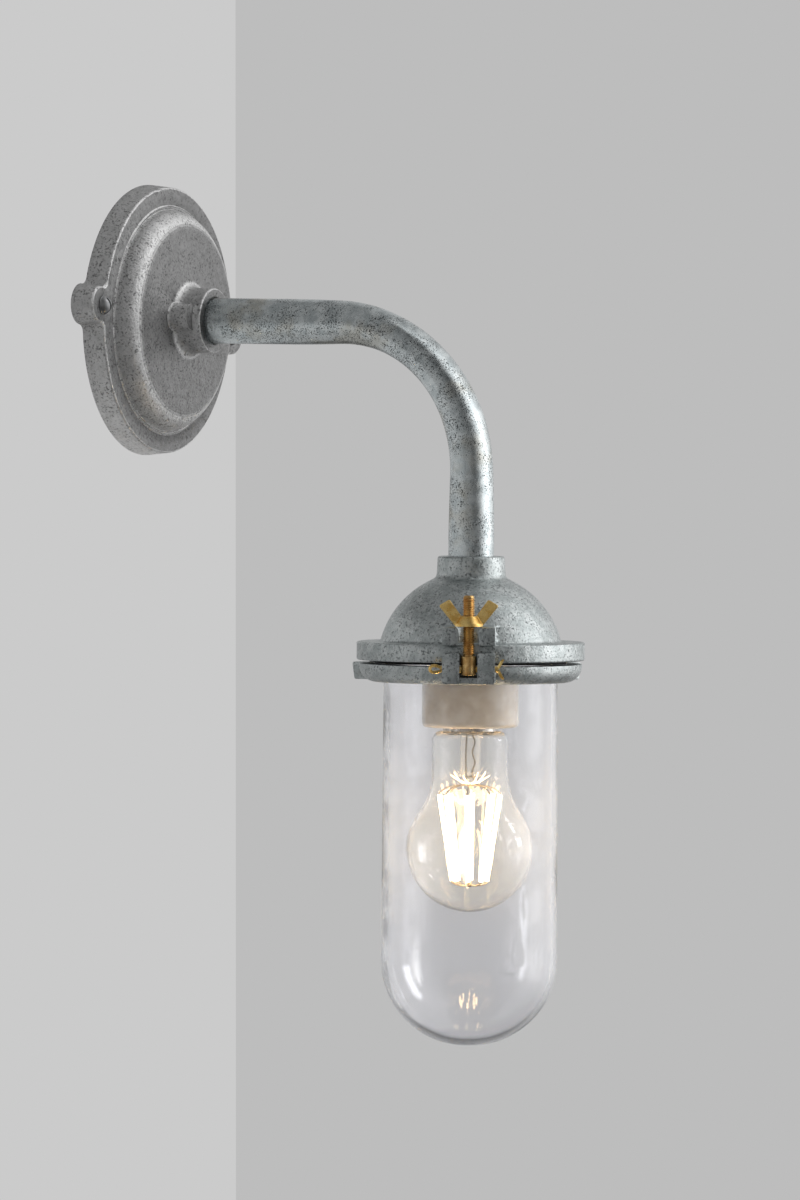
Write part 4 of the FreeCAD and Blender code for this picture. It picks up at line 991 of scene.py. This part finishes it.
def between(tree, value, low, high, soft):
    # 1 inside a stretch, 0 outside it, with soft ends
    rise = ramp(tree, value, low - soft, low + soft)
    return product(tree, rise, ramp(tree, value, high - soft, high + soft, 1.0, 0.0))


def pathKind(tree):
    # marks of a ray, 0 or 1: straight or through glass, by a reflection, by one in clear glass, by one in the bulb
    path = addNode(tree, "LightPath")
    mirrored = combined(tree, "MINIMUM", path.outputs["Glossy Depth"], 1.0)
    scattered = combined(tree, "MINIMUM", path.outputs["Diffuse Depth"], 1.0)
    clear = product(tree, mirrored, path.outputs["Is Singular Ray"])
    throughBulb = combined(tree, "GREATER_THAN", path.outputs["Transmission Depth"], bulbDepth)
    return {"straight": combined(tree, "SUBTRACT", 1.0, combined(tree, "MAXIMUM", mirrored, scattered)),
            "mirrored": mirrored, "clear": clear, "bulb": product(tree, clear, throughBulb)}


def withPanel(tree, tone, panel, kind, along, height, softHeight=None, brightest=1.0):
    # tone with the light of one panel added
    alongSpan, heightSpan, soft, brightness, seenIn = panel
    beside = between(tree, along, *alongSpan, soft)
    shape = product(tree, beside, between(tree, height, *heightSpan, softHeight or soft))
    light = product(tree, product(tree, shape, kind[seenIn]), brightness / brightest)
    return mixColour(tree, 1.0, tone, light, "ADD")


def stageMaterial(name, cameraShade, reflectedShades, panels=()):
    # plain to the camera, dimmer in reflections, an ordinary matt surface for light; open from behind
    material, tree, shader, place = startMaterial(name)
    feed(tree, shader, {"Base Color": shade(studio["litShade"]), "Roughness": studio["matt"]})
    kind = pathKind(tree)
    spot = addNode(tree, "SeparateXYZ", {"Vector": place}).outputs
    foot, middle, top = (shade(value) for value in reflectedShades)
    reflected = mixColour(tree, ramp(tree, spot["Z"], *studio["footLevels"]), foot, middle)
    reflected = mixColour(tree, ramp(tree, spot["Z"], *studio["topLevels"]), reflected, top)
    for panel in panels:
        reflected = withPanel(tree, reflected, panel, kind, spot["Y"], spot["Z"])
    tone = mixColour(tree, kind["mirrored"], shade(cameraShade), reflected)
    glow = addNode(tree, "Emission", {"Color": tone})
    seen = combined(tree, "MAXIMUM", kind["straight"], kind["mirrored"])
    behind = addNode(tree, "NewGeometry").outputs["Backfacing"]
    clear = addNode(tree, "BsdfTransparent")
    return surfaced(material, mixShader(tree, behind, mixShader(tree, seen, shader, glow), clear))


def stagePlane(name, corners, material):
    data = bpy.data.meshes.new(name)
    data.from_pydata(corners, [], [range(len(corners))])
    data.materials.append(material)
    plane = linked(name, data)


def makeWallAndFloor():
    size, back, floor = studio["size"], studio["wallBack"], studio["floorLevel"]
    lean = math.tan(math.radians(view["roll"])) / math.sin(turn)  # the wall's edge stands upright in the picture
    topEdge, lowEdge = (studio["wallEdge"] - lean * (level - studio["edgeLevel"]) for level in (size, floor))
    wall = stageMaterial("studio wall", studio["wallShade"], studio["wallReflected"], wallPanels)
    ground = stageMaterial("studio floor", studio["farShade"], studio["floorReflected"])
    foot = [(back, lowEdge, floor), (back, -size, floor)]
    stagePlane("studioWall", [foot[0], (back, topEdge, size), (back, -size, size), foot[1]], wall)
    stagePlane("studioFloor", [foot[1], (size, -size, floor), (size, lowEdge, floor), foot[0]], ground)


# how bright the room is around the lamp: degrees to the right of the camera, share of the brightest
roomLight = [(-180, 0.21), (-131, 0.15), (-100, 0.22), (-60, 0.22), (-45, 0.20), (-28, 0.14), (-8, 0.11), (18, 0.06),
             (36, 0.07), (50, 0.20), (66, 0.50), (84, 0.84), (98, 0.86), (112, 0.62), (140, 0.36), (180, 0.21)]
# the same by height: sine of the angle above the horizon, share
roomHeight = [(-1.0, 0.14), (-0.5, 0.34), (-0.1, 1.0), (0.3, 1.0), (0.7, 0.8), (1.0, 0.55)]
roomBrightest = 2.4


def toneCurve(tree, factor, stops):
    # smooth brightness through stops given as (place, value); the factor runs from 0 at the first to 1 at the last
    curve = addNode(tree, "ValToRGB", {"Fac": factor})
    elements = curve.color_ramp.elements
    curve.color_ramp.interpolation = "CARDINAL"
    low, high = stops[0][0], stops[-1][0]
    for place, value in stops[1:-1]:
        elements.new((place - low) / (high - low)).color = (value, value, value, 1.0)
    for index in (0, -1):
        value = stops[index][1]
        elements[index].color = (value, value, value, 1.0)
    return curve.outputs["Color"]


def makeRoom():
    world = bpy.data.worlds.new("studio")
    bpy.context.scene.world = world
    world.use_nodes = True
    tree = world.node_tree
    tree.nodes.clear()
    direction = addNode(tree, "TexCoord").outputs["Generated"]
    rightShare, frontShare = (addNode(tree, "VectorMath", {0: direction, 1: way}, operation="DOT_PRODUCT")
                              for way in (toRight, toFront))
    around = combined(tree, "ARCTAN2", rightShare.outputs["Value"], frontShare.outputs["Value"])
    height = addNode(tree, "SeparateXYZ", {"Vector": direction}).outputs["Z"]
    byTurn = toneCurve(tree, ramp(tree, around, -math.pi, math.pi, form="LINEAR"), roomLight)
    byHeight = toneCurve(tree, ramp(tree, height, -1, 1, form="LINEAR"), roomHeight)
    tone = mixColour(tree, 1.0, byTurn, byHeight, "MULTIPLY")
    kind = pathKind(tree)
    degrees = product(tree, around, math.degrees(1))
    for panel in roomPanels:
        tone = withPanel(tree, tone, panel, kind, degrees, height, roomSoftHeight, roomBrightest)
    room = addNode(tree, "Background", {"Color": tone, "Strength": roomBrightest})
    plain = addNode(tree, "Background", {"Color": shade(studio["farShade"])})
    addNode(tree, "OutputWorld", {"Surface": mixShader(tree, kind["straight"], room, plain)})


# each soft lamp: its side of the part as shares to the right, toward the camera and up; distance, watts
softLamps = {"right": ((0.97, 0.10, 0.20), 1.8, 16.0), "left": ((-0.85, 0.35, 0.35), 2.0, 7.0)}
softLampSize = (1.4, 1.8)


def faceAlong(piece, way, roll=0.0):
    # local -Z along the way, +Y up
    piece.rotation_mode = "QUATERNION"
    aimed = way.to_track_quat("-Z", "Y").to_matrix().to_4x4()
    piece.rotation_quaternion = (aimed @ Matrix.Rotation(math.radians(roll), 4, "Z")).to_quaternion()


def makeLamps():
    for side, (shares, distance, watts) in softLamps.items():
        data = bpy.data.lights.new(side + "Lamp", "AREA")
        data.shape = "RECTANGLE"
        data.size, data.size_y = softLampSize
        data.energy = watts
        lamp = linked(side + "Lamp", data)
        way = (toRight * shares[0] + toFront * shares[1] + upward * shares[2]).normalized()
        lamp.location = view["aim"] + way * distance
        faceAlong(lamp, -way)
        lamp.visible_glossy = False
        lamp.visible_transmission = False


def makeCamera():
    data = bpy.data.cameras.new("camera")
    data.lens = view["lens"]
    camera = linked("camera", data)
    camera.location = view["aim"] + toCamera * view["distance"]
    faceAlong(camera, -toCamera, view["roll"])
    bpy.context.scene.camera = camera


makeWallAndFloor()
makeRoom()
makeLamps()
makeCamera()
bpy.context.scene.view_settings.view_transform = "Standard"
print("studio ready")
